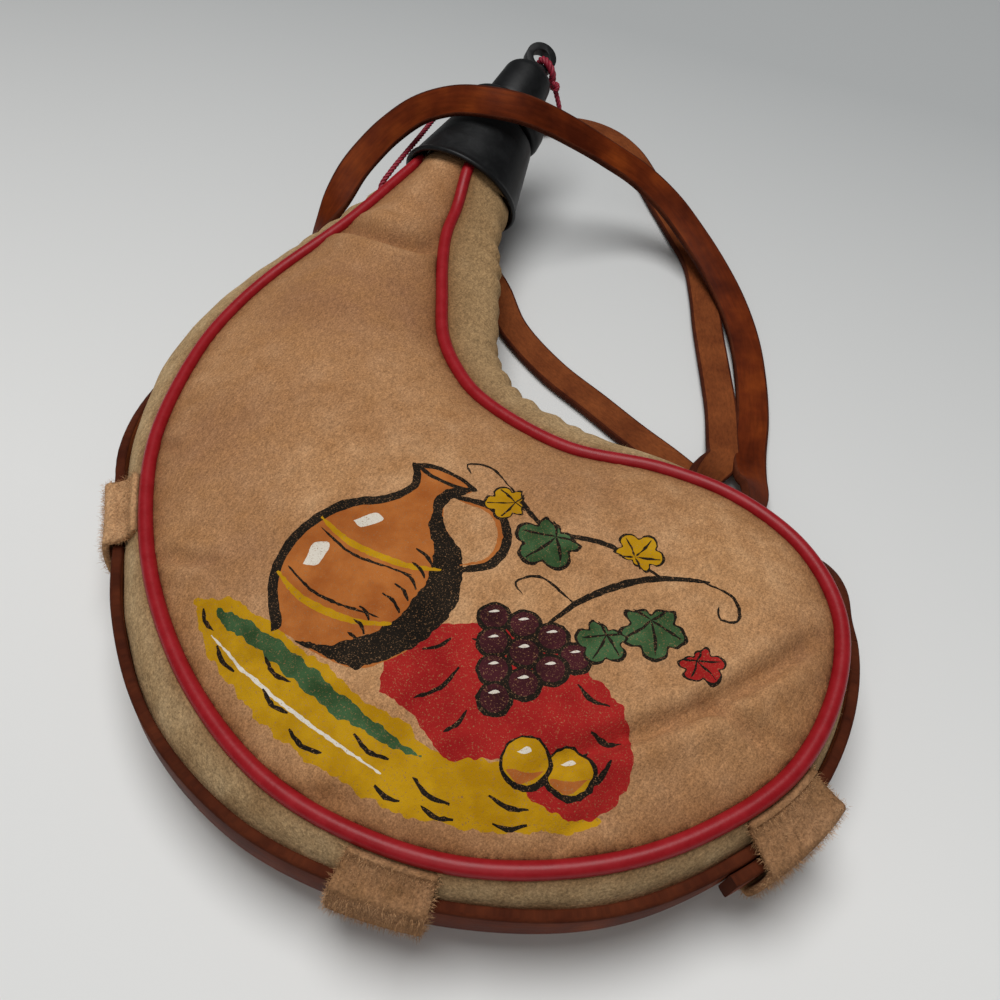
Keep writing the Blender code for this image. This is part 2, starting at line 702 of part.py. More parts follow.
def band(name, centres, normals, width, thickness, finish, collection):
    """A flat strap: a rectangular section swept along its centres, its grain side facing the normals."""
    centres = np.array(centres)
    tangents = np.gradient(centres, axis=0)
    sections = []
    for centre, tangent, normal in zip(centres, tangents, normals):
        across = np.cross(normal, tangent)
        across /= np.linalg.norm(across)
        face = np.cross(tangent, across)
        face /= np.linalg.norm(face)
        corners = ((-1, -1), (1, -1), (1, 1), (-1, 1))
        sections.append([centre + across * a * width / 2 + face * b * thickness / 2 for a, b in corners])
    return loft(name, sections, finish, collection)


def held_frame(share, layer=0):
    """The strap's centre, its width direction down the gusset and its grain side's direction."""
    front, back, bulge, out = seam_at(share)
    section = gusset_profile(front, back, bulge, out)
    level = np.interp(share, *zip(*STRAP_LEVEL_SHARES))
    k = round(level * (len(section) - 1))
    down = section[k + 1] - section[k - 1]
    down /= np.linalg.norm(down)
    normal = out - down * (out @ down)
    normal /= np.linalg.norm(normal)
    standoff = LEATHER_THICKNESS / 2 + 3 * GAP + STRAP_THICKNESS / 2 + layer * (STRAP_THICKNESS + GAP)
    return section[k] + normal * standoff, down, normal


def shares_between(start_share, end_share):
    """Both ends and the gusset's own stations between them."""
    stations = SEAM_ALONG / SEAM_LENGTH
    return [start_share, *stations[(stations > start_share) & (stations < end_share)], end_share]


def held_strap_line(start_share, end_share, layer=0):
    """Centres and grain normals of the strap where it stands on edge against the gusset."""
    frames = [held_frame(share, layer) for share in shares_between(start_share, end_share)]
    return np.array([f[0] for f in frames]), np.array([f[2] for f in frames])


def rolled_normals(centres, rolls):
    """Grain normals from a roll angle: 0 faces left of the travel, 90 faces up, 180 faces right."""
    tangents = np.gradient(centres, axis=0)
    normals = []
    for tangent, roll in zip(tangents, np.radians(rolls)):
        left = np.cross((0.0, 0.0, 1.0), tangent)
        left /= np.linalg.norm(left)
        up = np.cross(tangent, left)
        up /= np.linalg.norm(up)
        normals.append(left * math.cos(roll) + up * math.sin(roll))
    return normals


def make_strap(collection, leather):
    """The carrying strap: its held stretch, its lapped end and its free loop."""
    centres, normals = held_strap_line(STRAP_START_SHARE, STRAP_END_SHARE)
    band("strap_held", centres, normals, STRAP_WIDTH, STRAP_THICKNESS, leather, collection)
    lap_end = KEEPER_SHARES["keeper_right"] + KEEPER_WIDTH / 4 / SEAM_LENGTH
    lap = held_strap_line(lap_end - LAP_LENGTH / SEAM_LENGTH, lap_end, layer=1)
    band("strap_lap", *lap, STRAP_WIDTH, STRAP_THICKNESS, leather, collection)
    ends = []
    for share, sign in ((STRAP_START_SHARE, -1), (STRAP_END_SHARE, 1)):
        for beyond in (3 * GAP, STRAP_WIDTH / 2):
            centre, down, normal = held_frame(share + sign * beyond / SEAM_LENGTH)
            ends.append((*centre, math.degrees(math.asin(normal[2]))))
    route = [*ends[:2], *FREE_STRAP_ROUTE, *ends[:1:-1]]
    dense = smooth_curve(route)
    total = lengths_along(dense)[-1]
    spots = np.linspace(0.0, total, FREE_STRAP_STEPS + 1)
    spots = np.insert(spots, [1, FREE_STRAP_STEPS], [STRAP_WIDTH / 2, total - STRAP_WIDTH / 2])
    spread = sample(dense, spots)
    normals = rolled_normals(spread[:, :3], spread[:, 3])
    band("strap_free", spread[:, :3], normals, STRAP_WIDTH, STRAP_THICKNESS, leather, collection)


def keeper_section(share, layers):
    """A keeper's section: from beside the front piping, out over the strap, to beside the back piping."""
    front, back, bulge, out = seam_at(share)
    seat = LEATHER_THICKNESS / 2 + 2 * GAP + KEEPER_THICKNESS / 2
    clear = PIPING_RADIUS + KEEPER_THICKNESS / 2 + 2 * GAP
    base = trimmed(gusset_profile(front, back, bulge, out, seat), clear, clear, KEEPER_STEPS)
    centre, down, normal = held_frame(share, layers - 1)
    beside = STRAP_WIDTH / 2 + KEEPER_THICKNESS / 2 + 4 * GAP
    outer = STRAP_THICKNESS / 2 + 2 * GAP + KEEPER_THICKNESS / 2
    shape = [(1.0, 0.0, 0.0), (0.96, 0.85, 0.0), (0.5, 1.0, 0.6), (0.0, 1.0, 1.0)]
    slides = [(-a, b, c) for a, b, c in shape] + [(a, b, c) for a, b, c in shape[-2::-1]]
    over = [centre + down * beside * a + normal * (outer * b + KEEPER_SPRING * c) for a, b, c in slides]
    clear = beside + KEEPER_THICKNESS
    head = [p for p in base[1:] if (p - centre) @ down < -clear]
    tail = [p for p in base[:-1] if (p - centre) @ down > clear]
    return trimmed(smooth_curve([base[0], *head, *over, *tail, base[-1]], 8), 0.0, 0.0, KEEPER_STEPS)


def make_keepers(collection, suede):
    """Suede loops sewn into both seams, each bridging the strap that they hold on the gusset."""
    half = KEEPER_WIDTH / 2 / SEAM_LENGTH
    for name, share in KEEPER_SHARES.items():
        layers = 2 if name == "keeper_right" else 1
        rows = [keeper_section(k, layers) for k in shares_between(share - half, share + half)]
        sheet(name, rows, suede, collection, thickness=KEEPER_THICKNESS)


def make_mouthpiece(collection, plastic, rubber, wire, cord):
    """The moulded collar, the screw spout with its seal, and the stopper with its seal and cord."""
    axis = bpy.data.objects.new("mouth_axis", None)
    collection.objects.link(axis)
    frame = Matrix((SIDE, -AXIS_UP, AXIS)).transposed().to_4x4()
    axis.matrix_world = Matrix.Translation(RIM) @ frame

    bore = STEM_RADIUS - STEM_WALL
    web = COLLAR_LENGTH - PLUG_LENGTH - COLLAR_WEB
    slope = (COLLAR_RIM_RADIUS - COLLAR_TOP_RADIUS) / COLLAR_LENGTH
    turned("collar", [
        (COLLAR_TOP_RADIUS - COLLAR_LIP, COLLAR_LENGTH),
        (COLLAR_TOP_RADIUS, COLLAR_LENGTH - COLLAR_LIP),
        (COLLAR_RIM_RADIUS - slope * COLLAR_LIP - COLLAR_LIP / 2, 2 * COLLAR_LIP),
        (COLLAR_RIM_RADIUS, 0.0),
        (COLLAR_RIM_RADIUS - COLLAR_WALL, 0.0),
        (COLLAR_RIM_RADIUS - COLLAR_WALL - slope * web, web),
        (STEM_RADIUS, web),
        (STEM_RADIUS, -STEM_REACH),
        (bore, -STEM_REACH),
        (bore, COLLAR_LENGTH),
    ], plastic, collection, axis)

    turns = np.linspace(0.0, BINDING_TURNS, BINDING_TURNS * 20 + 1)
    radius = NECK_WAIST_RADIUS + LEATHER_THICKNESS / 2 + BINDING_WIRE_RADIUS + 2 * GAP
    pitch = 2 * BINDING_WIRE_RADIUS + GAP
    line = [
        neck_point(BINDING_STATION + (t - BINDING_TURNS / 2) * pitch, radius, 360 * t) for t in turns
    ]
    tube("neck_binding", line, BINDING_WIRE_RADIUS, wire, collection, resolution=1)

    seat = COLLAR_LENGTH + GAP
    plug = bore - GAP
    turned("spout_seal", ring_profile(plug + GAP, SEAL_WIDTH, seat, SEAL_THICKNESS), rubber, collection, axis)

    low = seat + SEAL_THICKNESS + GAP
    high = low + RING_LENGTH
    tip = high + NOZZLE_LENGTH
    inner = RING_RADIUS - RING_ROUNDING
    turned("spout", [
        (NOZZLE_TIP_RADIUS, tip),
        (NOZZLE_SHANK_RADIUS, high + NOZZLE_NECK_LENGTH),
        (NOZZLE_NECK_RADIUS, high + NOZZLE_NECK_LENGTH),
        (NOZZLE_NECK_RADIUS, high),
        *arc((inner, high - RING_ROUNDING), RING_ROUNDING, 90, 0),
        *arc((inner, low + RING_ROUNDING), RING_ROUNDING, 0, -70),
        (inner, low),
        (plug, low),
        (plug, COLLAR_LENGTH - PLUG_LENGTH + GAP),
        (PLUG_BORE_RADIUS, COLLAR_LENGTH - PLUG_LENGTH + GAP),
        (PLUG_BORE_RADIUS, low),
        (NOZZLE_TIP_RADIUS, high),
        (JET_RADIUS, tip - 2 * NOZZLE_TIP_RADIUS),
        (JET_RADIUS, tip),
    ], plastic, collection, axis)

    seal_low = high + GAP
    turned("stopper_seal", ring_profile(NOZZLE_NECK_RADIUS + GAP, STOPPER_SEAL_WIDTH, seal_low,
                                        STOPPER_SEAL_THICKNESS), rubber, collection, axis)
    base = seal_low + STOPPER_SEAL_THICKNESS + GAP
    make_stopper(collection, plastic, axis, base, high, tip)
    make_cord(collection, cord, base)


def ring_profile(inner, width, low, thickness):
    """A washer's section."""
    return [(inner + width, low + thickness), (inner + width, low), (inner, low), (inner, low + thickness)]


def make_stopper(collection, plastic, axis, base, high, tip):
    """The stopper: a cap screwed over the spout's neck, with a flat lug and its eye on top."""
    top = base + STOPPER_LENGTH
    shoulder = STOPPER_RADIUS - STOPPER_CROWN_RADIUS
    hollow = NOZZLE_NECK_RADIUS + THREAD_CLEARANCE
    cap = turned("stopper", [
        (0.0, top),
        *arc((shoulder - STOPPER_TAPER, top - STOPPER_CROWN_RADIUS), STOPPER_CROWN_RADIUS, 90, 10),
        (STOPPER_RADIUS, base + STOPPER_CROWN_RADIUS / 2),
        (STOPPER_RADIUS, base),
        (hollow, base),
        (hollow, high + NOZZLE_NECK_LENGTH + THREAD_CLEARANCE),
        (NOZZLE_SHANK_RADIUS + THREAD_CLEARANCE, high + NOZZLE_NECK_LENGTH + THREAD_CLEARANCE),
        (NOZZLE_TIP_RADIUS + THREAD_CLEARANCE, tip + GAP),
        (0.0, tip + GAP),
    ], plastic, collection, axis)

    eye = top + LUG_STANDOFF
    cutters = bpy.data.collections.new("cutters")
    bpy.context.scene.collection.children.link(cutters)
    root = top - STOPPER_CROWN_RADIUS / 2
    half = LUG_RADIUS * LUG_ROOT_SHARE
    outline = [(-half, root), (half, root)]
    outline += [(x, eye + z) for x, z in arc((0.0, 0.0), LUG_RADIUS, -25, 205, LUG_STEPS)]
    mesh = bpy.data.meshes.new("lug_form")
    bm = bmesh.new()
    face = bm.faces.new([bm.verts.new((x, -LUG_THICKNESS / 2, z)) for x, z in outline])
    grown = bmesh.ops.extrude_face_region(bm, geom=[face])
    moved = [v for v in grown["geom"] if isinstance(v, bmesh.types.BMVert)]
    bmesh.ops.translate(bm, verts=moved, vec=(0.0, LUG_THICKNESS, 0.0))
    bmesh.ops.recalc_face_normals(bm, faces=bm.faces[:])
    bm.to_mesh(mesh)
    bm.free()
    lug = add_object("lug_form", mesh, plastic, cutters, axis)

    mesh = bpy.data.meshes.new("eye_drill")
    bm = bmesh.new()
    bmesh.ops.create_cone(bm, cap_ends=True, segments=20, radius1=EYE_RADIUS, radius2=EYE_RADIUS,
                          depth=2 * LUG_THICKNESS)
    bm.to_mesh(mesh)
    bm.free()
    drill = add_object("eye_drill", mesh, plastic, cutters, axis)
    drill.matrix_basis = Matrix.Translation((0.0, 0.0, eye)) @ Matrix.Rotation(math.pi / 2, 4, "X")

    turn = Matrix.Rotation(math.radians(EYE_TURN_DEGREES), 4, "Z")
    for tool, operation in ((lug, "UNION"), (drill, "DIFFERENCE")):
        tool.matrix_basis = turn @ tool.matrix_basis
        tool.hide_render = True
        tool.display_type = "WIRE"
        cut = cap.modifiers.new(tool.name, "BOOLEAN")
        cut.operation = operation
        cut.object = tool


def mouth_point(x, up, station):
    """A point given from the mouthpiece's axis: to its side, away from the table, and along it."""
    return RIM + SIDE * x + AXIS_UP * up + AXIS * station


def make_cord(collection, cord, base):
    """The red cord: its loop through the eye, its knot, and the stretch back to the neck."""
    eye = base + STOPPER_LENGTH + LUG_STANDOFF
    turn = math.radians(EYE_TURN_DEGREES)
    through = AXIS_UP * math.cos(turn) + SIDE * math.sin(turn)
    across = SIDE * math.cos(turn) - AXIS_UP * math.sin(turn)
    drop = math.radians(CORD_DROP_DEGREES)
    outward = across * math.cos(drop) - AXIS * math.sin(drop)
    loop_radius = LUG_THICKNESS / 2 + RED_CORD_RADIUS + 2 * GAP
    centre = RIM + AXIS * eye + outward * (LUG_RADIUS + RED_CORD_RADIUS + 2 * GAP - LUG_RADIUS * LOOP_SHARE)
    loop = []
    for angle in np.linspace(0.0, 2 * math.pi, LOOP_STEPS, endpoint=False):
        loop.append(centre + loop_radius * (outward * math.cos(angle) * LOOP_STRETCH + through * math.sin(angle)))
    tube("cord_loop", loop, RED_CORD_RADIUS, cord, collection, cyclic=True, resolution=1)

    knot = centre + outward * (loop_radius * LOOP_STRETCH + RED_CORD_RADIUS + KNOT_RADIUS + GAP)
    mesh = bpy.data.meshes.new("cord_knot")
    bm = bmesh.new()
    bmesh.ops.create_uvsphere(bm, u_segments=12, v_segments=8, radius=KNOT_RADIUS)
    bm.to_mesh(mesh)
    bm.free()
    mesh.shade_smooth()
    made = add_object("cord_knot", mesh, cord, collection)
    made.location = knot

    front, back, bulge, out = seam_at(CORD_END_SHARE)
    section = gusset_profile(front, back, bulge, out, LEATHER_THICKNESS / 2 + RED_CORD_RADIUS + GAP)
    end = section[round(CORD_END_LEVEL_SHARE * (len(section) - 1))]
    route = [*(mouth_point(*p) for p in RED_CORD_ROUTE), end]
    dense = smooth_curve(route)
    total = lengths_along(dense)[-1]
    line = sample(dense, np.linspace(0.0, total, RED_CORD_STEPS + 1))
    tube("stopper_cord", line, RED_CORD_RADIUS, cord, collection)


def main():
    for old in list(bpy.data.objects):
        bpy.data.objects.remove(old)
    collection = bpy.data.collections.new("leather_bota_bag")
    bpy.context.scene.collection.children.link(collection)
    tan = material("tan suede", "#BE9068", 0.9)
    suede = material("natural suede", "#AD986F", 0.95)
    vinyl = material("red vinyl", "#8E1F2B", 0.35)
    rubber = material("latex rubber", "#B9A27A", 0.6)
    leather = material("saddle leather", "#7A3F1C", 0.5)
    plastic = material("black phenolic", "#17191B", 0.35)
    seal = material("black rubber", "#202020", 0.8)
    wire = material("binding wire", "#9A9A96", 0.4, 1.0)
    cord = material("crimson cord", "#8A0F2A", 0.8)
    make_shell(collection, tan, suede, vinyl)
    make_bladder(collection, rubber)
    make_strap(collection, leather)
    make_keepers(collection, suede)
    make_mouthpiece(collection, plastic, seal, wire, cord)


main()
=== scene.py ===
"""The looks of the leather bota bag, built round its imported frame.

Units are metres in the frame's own axes. The bag's leather is rebuilt as fine surfaces on the same
seams as the frame's, the moulded mouthpiece is turned anew, and the strap and the red cord follow the
frame's routes.
"""

import json
import math
import random

import bmesh
import bpy
import numpy as np
from mathutils import Matrix, Vector, geometry, kdtree, noise


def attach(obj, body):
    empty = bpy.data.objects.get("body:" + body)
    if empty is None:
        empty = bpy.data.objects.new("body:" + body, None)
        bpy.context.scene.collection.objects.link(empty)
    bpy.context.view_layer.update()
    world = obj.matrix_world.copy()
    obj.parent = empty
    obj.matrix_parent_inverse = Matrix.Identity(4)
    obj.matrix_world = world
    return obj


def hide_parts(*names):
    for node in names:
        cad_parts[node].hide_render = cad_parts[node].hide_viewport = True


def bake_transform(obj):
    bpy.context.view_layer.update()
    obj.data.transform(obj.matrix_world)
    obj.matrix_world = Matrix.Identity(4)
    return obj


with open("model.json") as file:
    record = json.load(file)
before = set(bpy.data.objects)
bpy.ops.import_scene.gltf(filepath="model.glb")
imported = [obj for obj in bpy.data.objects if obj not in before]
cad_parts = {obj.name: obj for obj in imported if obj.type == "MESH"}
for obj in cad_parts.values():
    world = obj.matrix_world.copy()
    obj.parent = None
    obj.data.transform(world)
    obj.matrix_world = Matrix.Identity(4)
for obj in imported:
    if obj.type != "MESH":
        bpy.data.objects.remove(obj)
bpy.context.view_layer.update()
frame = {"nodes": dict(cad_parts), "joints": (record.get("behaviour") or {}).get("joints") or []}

# The camera at the photograph's viewing angle
CAMERA_PLACE = Vector((0.0868, -0.1225, 0.2190))
CAMERA_TILT_DEGREES = 40.0
CAMERA_TURN_DEGREES = 29.5
CAMERA_LENS_SHARE = 1.0

# The bag's own sizes in metres, as in its frame
BAG_WIDTH = 0.194
BAG_LENGTH = 0.201
FRONT_SEAM_HEIGHT = 0.028
BACK_SEAM_HEIGHT = 0.008
CROWN_HEIGHT = 0.0105
CROWN_REACH = 0.042
BACK_RISE_REACH = 0.013
BACK_SHIFT_X = -0.0035
BACK_SHIFT_Y = -0.0015
GUSSET_BULGE = 0.009
SEAM_RISE = 0.0100
SEAM_RISE_LENGTH = 0.100
SEAM_RISE_POWER = 1.7
NECK_LIFT_LENGTH = 0.070
LEATHER_THICKNESS = 0.0018
PIPING_RADIUS = 0.0019
PIPING_SHORT = 0.0012
STRAP_WIDTH = 0.0098
STRAP_THICKNESS = 0.0026
STRAP_CORNER_SHARE = 0.28
KEEPER_WIDTH = 0.0182
KEEPER_THICKNESS = 0.0016
KEEPER_SPRING = 0.0004
RED_CORD_RADIUS = 0.0009
GAP = 0.0003
NECK_INSERT = 0.013
NECK_WAIST = 0.0070
NECK_MOUTH_RADIUS = 0.0167
NECK_WAIST_RADIUS = 0.0142
NECK_END_RADIUS = 0.0139
FRONT_LEFT_DEGREES = -50.0
FRONT_RIGHT_DEGREES = 25.0
BACK_LEFT_DEGREES = -145.0
BACK_RIGHT_DEGREES = 145.0

# How far the leather's edge stays short of the seam line, inside the piping
TUCK = PIPING_RADIUS * 0.75

# Half of a keeper's arch over the strap: shares of its half width, of its height and of its spring
KEEPER_ARCH = [(1.0, 0.0, 0.0), (0.96, 0.85, 0.0), (0.5, 1.0, 0.6), (0.0, 1.0, 1.0)]

# The seam, as shares of the bag's width and length and of the gusset's bulge
SEAM_SHARES = [
    (-0.459, 0.459, 1.03), (-0.495, 0.299, 1.11), (-0.500, 0.216, 1.14), (-0.487, 0.123, 1.07),
    (-0.427, -0.032, 0.70), (-0.354, -0.133, 0.40), (-0.254, -0.227, 0.62), (-0.129, -0.304, 0.75),
    (0.005, -0.349, 0.58), (0.122, -0.353, 0.41), (0.243, -0.327, 0.31), (0.359, -0.261, 0.42),
    (0.434, -0.185, 0.38), (0.491, -0.082, 0.33), (0.500, 0.034, 0.29), (0.470, 0.130, 0.28),
    (0.401, 0.197, 0.29), (0.303, 0.230, 0.42), (0.201, 0.229, 0.94), (0.072, 0.203, 1.52),
    (-0.073, 0.226, 1.61), (-0.136, 0.261, 1.74), (-0.185, 0.305, 1.81), (-0.234, 0.379, 1.87),
    (-0.268, 0.434, 1.92), (-0.297, 0.492, 1.86), (-0.315, 0.554, 1.56),
]
KEEPER_SHARES = {"keeper_left": 0.270, "keeper_bottom": 0.4515, "keeper_right": 0.5745}
STRAP_START_SHARE = 0.100
STRAP_END_SHARE = 0.645
STRAP_LEVEL_SHARES = ((0.100, 0.78), (0.190, 0.74), (0.252, 0.53), (0.380, 0.52))
LAP_LENGTH = 0.0190
CORD_END_SHARE = 0.045
CORD_END_LEVEL_SHARE = 0.60

# The free strap's route, as in the frame: place in metres and roll in degrees
FREE_STRAP_ROUTE = [
    (-0.1058, 0.0882, 0.0150, -5), (-0.1068, 0.0961, 0.0185, 45), (-0.1065, 0.1030, 0.0230, 75),
    (-0.1063, 0.1100, 0.0273, 102), (-0.1056, 0.1170, 0.0316, 118), (-0.1034, 0.1240, 0.0358, 126),
    (-0.0995, 0.1310, 0.0406, 130), (-0.0915, 0.1380, 0.0468, 133), (-0.0800, 0.1420, 0.0513, 135),
    (-0.0680, 0.1440, 0.0530, 135), (-0.0583, 0.1487, 0.0510, 133), (-0.0505, 0.1540, 0.0465, 130),
    (-0.0420, 0.1595, 0.0405, 125), (-0.0330, 0.1650, 0.0335, 118), (-0.0225, 0.1690, 0.0265, 112),
    (-0.0110, 0.1690, 0.0195, 106), (-0.0005, 0.1654, 0.0135, 100), (0.0105, 0.1586, 0.0088, 96),
    (0.0222, 0.1480, 0.0052, 92), (0.0330, 0.1337, 0.0030, 90), (0.0415, 0.1177, 0.0019, 90),
    (0.0483, 0.1010, 0.0019, 90), (0.0527, 0.0862, 0.0026, 88), (0.0562, 0.0760, 0.0052, 75),
    (0.0598, 0.0680, 0.0080, 50), (0.0606, 0.0610, 0.0088, 28), (0.0572, 0.0558, 0.0089, 12),
    (0.0515, 0.0542, 0.0089, 0), (0.0466, 0.0572, 0.0089, -14), (0.0449, 0.0635, 0.0086, -32),
    (0.0458, 0.0710, 0.0072, -55), (0.0466, 0.0790, 0.0044, -78), (0.0434, 0.0885, 0.0024, -88),
    (0.0383, 0.1005, 0.0019, -90), (0.0315, 0.1135, 0.0019, -90), (0.0205, 0.1340, 0.0019, -90),
    (0.0125, 0.1500, 0.0019, -90), (0.0040, 0.1646, 0.0019, -90), (-0.0085, 0.1785, 0.0019, -90),
    (-0.0217, 0.1925, 0.0019, -90), (-0.0350, 0.2070, 0.0019, -90), (-0.0475, 0.2190, 0.0022, -86),
    (-0.0600, 0.2255, 0.0030, -79), (-0.0720, 0.2265, 0.0036, -73), (-0.0835, 0.2215, 0.0040, -69),
    (-0.0920, 0.2120, 0.0042, -67), (-0.0975, 0.1990, 0.0042, -67), (-0.0985, 0.1850, 0.0040, -69),
    (-0.0955, 0.1710, 0.0034, -75), (-0.0895, 0.1580, 0.0026, -83), (-0.0810, 0.1450, 0.0019, -90),
    (-0.0710, 0.1340, 0.0019, -90), (-0.0610, 0.1260, 0.0019, -90), (-0.0500, 0.1170, 0.0019, -90),
    (-0.0355, 0.1025, 0.0019, -90), (-0.0150, 0.0905, 0.0019, -90), (0.0036, 0.0835, 0.0019, -90),
    (0.0192, 0.0775, 0.0019, -90), (0.0330, 0.0728, 0.0019, -90), (0.0460, 0.0675, 0.0017, -90),
    (0.0580, 0.0620, 0.0018, -88), (0.0690, 0.0565, 0.0032, -75), (0.0778, 0.0510, 0.0066, -50),
    (0.0850, 0.0448, 0.0118, -28), (0.0903, 0.0370, 0.0161, -12),
]

# The red cord's route, as in the frame: to the side, above and along the mouthpiece's axis
RED_CORD_ROUTE = [
    (0.0104, -0.0076, 0.0540), (0.0110, -0.0125, 0.0505), (0.0065, -0.0176, 0.0465),
    (-0.0025, -0.0196, 0.0432), (-0.0125, -0.0158, 0.0402), (-0.0198, -0.0080, 0.0368),
    (-0.0226, -0.0008, 0.0316), (-0.0221, 0.0028, 0.0235), (-0.0217, 0.0051, 0.0132),
    (-0.0221, 0.0065, 0.0037), (-0.0234, 0.0062, -0.0044), (-0.0244, 0.0048, -0.0100),
]

# The moulded mouthpiece, measured along its own axis from the collar's rim
COLLAR_RIM_RADIUS = 0.0206
COLLAR_TOP_RADIUS = 0.0144
COLLAR_LENGTH = 0.026
COLLAR_WALL = 0.0012
COLLAR_LIP = 0.0009
COLLAR_WEB = 0.0016
STEM_RADIUS = 0.0105
STEM_BORE_RADIUS = 0.0092
STEM_REACH = 0.0035
SEAL_THICKNESS = 0.0010
SEAL_WIDTH = 0.0034
STOPPER_SEAL_THICKNESS = 0.0008
STOPPER_SEAL_WIDTH = 0.0026
RING_RADIUS = 0.0152
RING_LENGTH = 0.0075
RING_ROUNDING = 0.0022
PLUG_LENGTH = 0.0085
PLUG_BORE_RADIUS = 0.0066
NOZZLE_NECK_RADIUS = 0.0066
NOZZLE_NECK_LENGTH = 0.0060
NOZZLE_SHANK_RADIUS = 0.0044
NOZZLE_TIP_RADIUS = 0.0024
NOZZLE_LENGTH = 0.0150
JET_RADIUS = 0.0009
STOPPER_RADIUS = 0.0101
STOPPER_LENGTH = 0.0182
STOPPER_CROWN_RADIUS = 0.0048
STOPPER_TAPER = 0.0012
THREAD_CLEARANCE = 0.0004
RIDGE_RADIUS = 0.8 * GAP
SPOUT_THREAD_PITCH = 0.0030
STOPPER_THREAD_PITCH = 0.0025
LUG_RADIUS = 0.0055
LUG_THICKNESS = 0.0042
LUG_STANDOFF = 0.0060
LUG_EASE = 0.16 * LUG_THICKNESS
LUG_ROOT_SHARE = 0.66
EYE_RADIUS = 0.0030
EYE_TURN_DEGREES = 30.0
KNOT_RADIUS = 0.0019
CORD_DROP_DEGREES = 30.0
CORD_PITCH = 0.0042
PLY_OFFSET_SHARE = 0.5
PLY_RADIUS_SHARE = 0.53
LOOP_CORD_RADIUS = 0.0013
LOOP_PITCH = 0.0056
LOOP_SHARE = 0.45
LOOP_STRETCH = 1.1

# How finely the new surfaces are divided
PANEL_CELL = 0.0014
GUSSET_CELL = 0.0016
GUSSET_ACROSS = 26
NECK_ROWS = 9
NECK_ARC_STEPS = 26
STRAP_CELL = 0.0018
STRAP_CORNER_STEPS = 3
STRAP_SHARP_DEGREES = 50
KEEPER_ACROSS = 18
KEEPER_ALONG = 70
TURN_STEPS = 96
DISC_STEPS = 72
EYE_STEPS = 48
MOULDED_SMOOTH_DEGREES = 42
RUBBER_SMOOTH_DEGREES = 32
TUBE_SIDES = 20
PLY_SIDES = 9
RIDGE_SIDES = 8
THREAD_STEPS_PER_TURN = 48
PIPING_STEPS = 420
CORD_STEP = 0.0003
LOOP_STEPS = 90
KNOT_STEPS = 120
INK_STEP_MM = 0.55
STROKE_STEP_MM = 0.9
POINTS_PER_BLOCK = 2000

# The front panel's creases: places in millimetres on the table, then depth and half width in metres
CREASES = [
    ([(51, -44), (59.5, -34.2), (68, -24.4), (75, -15.3), (81.4, -3.7), (86.3, 7.3), (90, 16.6)],
     0.0027, 0.0018),
    ([(73.1, -15.2), (79.5, -14.7), (86.1, -15.5), (93.1, -17.7)], 0.0018, 0.0016),
    ([(-89, 87.1), (-81.9, 85), (-72.5, 82.1), (-64.8, 84.1), (-59, 89.1), (-57, 97.4)], 0.0040, 0.0028),
    ([(-53.8, -39.4), (-49.1, -37.7), (-43.5, -37.2), (-37.8, -35.3)], 0.0014, 0.0015),
    ([(-84, -12), (-77, -10.5), (-70, -10.8)], 0.0012, 0.0015),
    ([(94.8, -11.5), (91.8, -12.4), (87.5, -12.3)], 0.0014, 0.0014),
    ([(9, -75), (12.8, -70.5), (17.9, -67.6), (24.1, -66.4)], 0.0014, 0.0016),
    ([(-20, -58), (-15, -53), (-8, -50)], 0.0010, 0.0017),
    ([(60, -57), (62, -50), (67, -44)], 0.0010, 0.0017),
    ([(28, 36), (32, 28), (40, 22)], 0.0008, 0.0022),
]
DEEPEST_CREASE = 0.004

# The leather's slack: its height, its broad and fine lumps per metre, and how far from the seam it fades
SLACK = 0.0007
BROAD_LUMPS = 38
FINE_LUMPS = 150
SLACK_FADE = 0.006

# The gusset wrinkles where it bends: near both ends, and where it turns round the bag's hollow side
WRINKLE_SPACING = 0.0095
WRINKLE_HEIGHT = 0.0010
END_BEND_PLACE = 0.036
END_BEND_REACH = 0.024
HOLLOW_BEND_SHARE = 0.83
HOLLOW_BEND_REACH = 0.05
HOLLOW_BEND = 0.8
NECK_FOLDS_FROM_SHARE = 0.80
NECK_FOLDS = 2.6

# The bands beside the piping, darkened as grime and as painted shade from the piping, and the gusset's neck,
# darkened as painted shade
PANEL_GRIME_AND_SHADE_REACH = 0.0028
GUSSET_GRIME_AND_SHADE_REACH = 0.0022
GUSSET_POINT_SPACING = 0.0008
NECK_SHADE_FADE_SHARE = 0.02
NECK_SHADE = 0.75

# Loose fibres on cut suede: their size, how unevenly they stand and curl, and their shortest and
# longest as shares of the length
FIBRE_LENGTH = 0.0008
FIBRE_WIDTH = 0.00007
FIBRE_SCATTER = 0.0003
FIBRE_LEAN = 0.45
FIBRE_CURL = 0.5
FIBRE_SHARES = (0.4, 1.3)
GUSSET_TUFTS = 1600
KEEPER_INSIDE = 0.008

# Stains on the front panel, among them broad patches that are painted shade: places in millimetres on the
# table, then reach in metres and strength
STAINS_AND_SHADE = [
    (-65.6, -6.8, 0.016, 0.8), (-44.9, 69.3, 0.015, 0.9), (-32.8, -35.0, 0.013, 0.7),
    (19.7, 26.0, 0.018, 0.7), (81.3, -35.6, 0.014, 0.6), (35.0, -61.7, 0.015, 0.7),
    (-74.0, 55.0, 0.020, 0.7), (88.0, 12.0, 0.014, 0.5), (-72.0, 100.0, 0.020, 0.5),
    (60.0, -20.0, 0.012, 0.4), (-55.0, 40.0, 0.034, 0.6), (-48.0, -16.0, 0.024, 0.4),
]

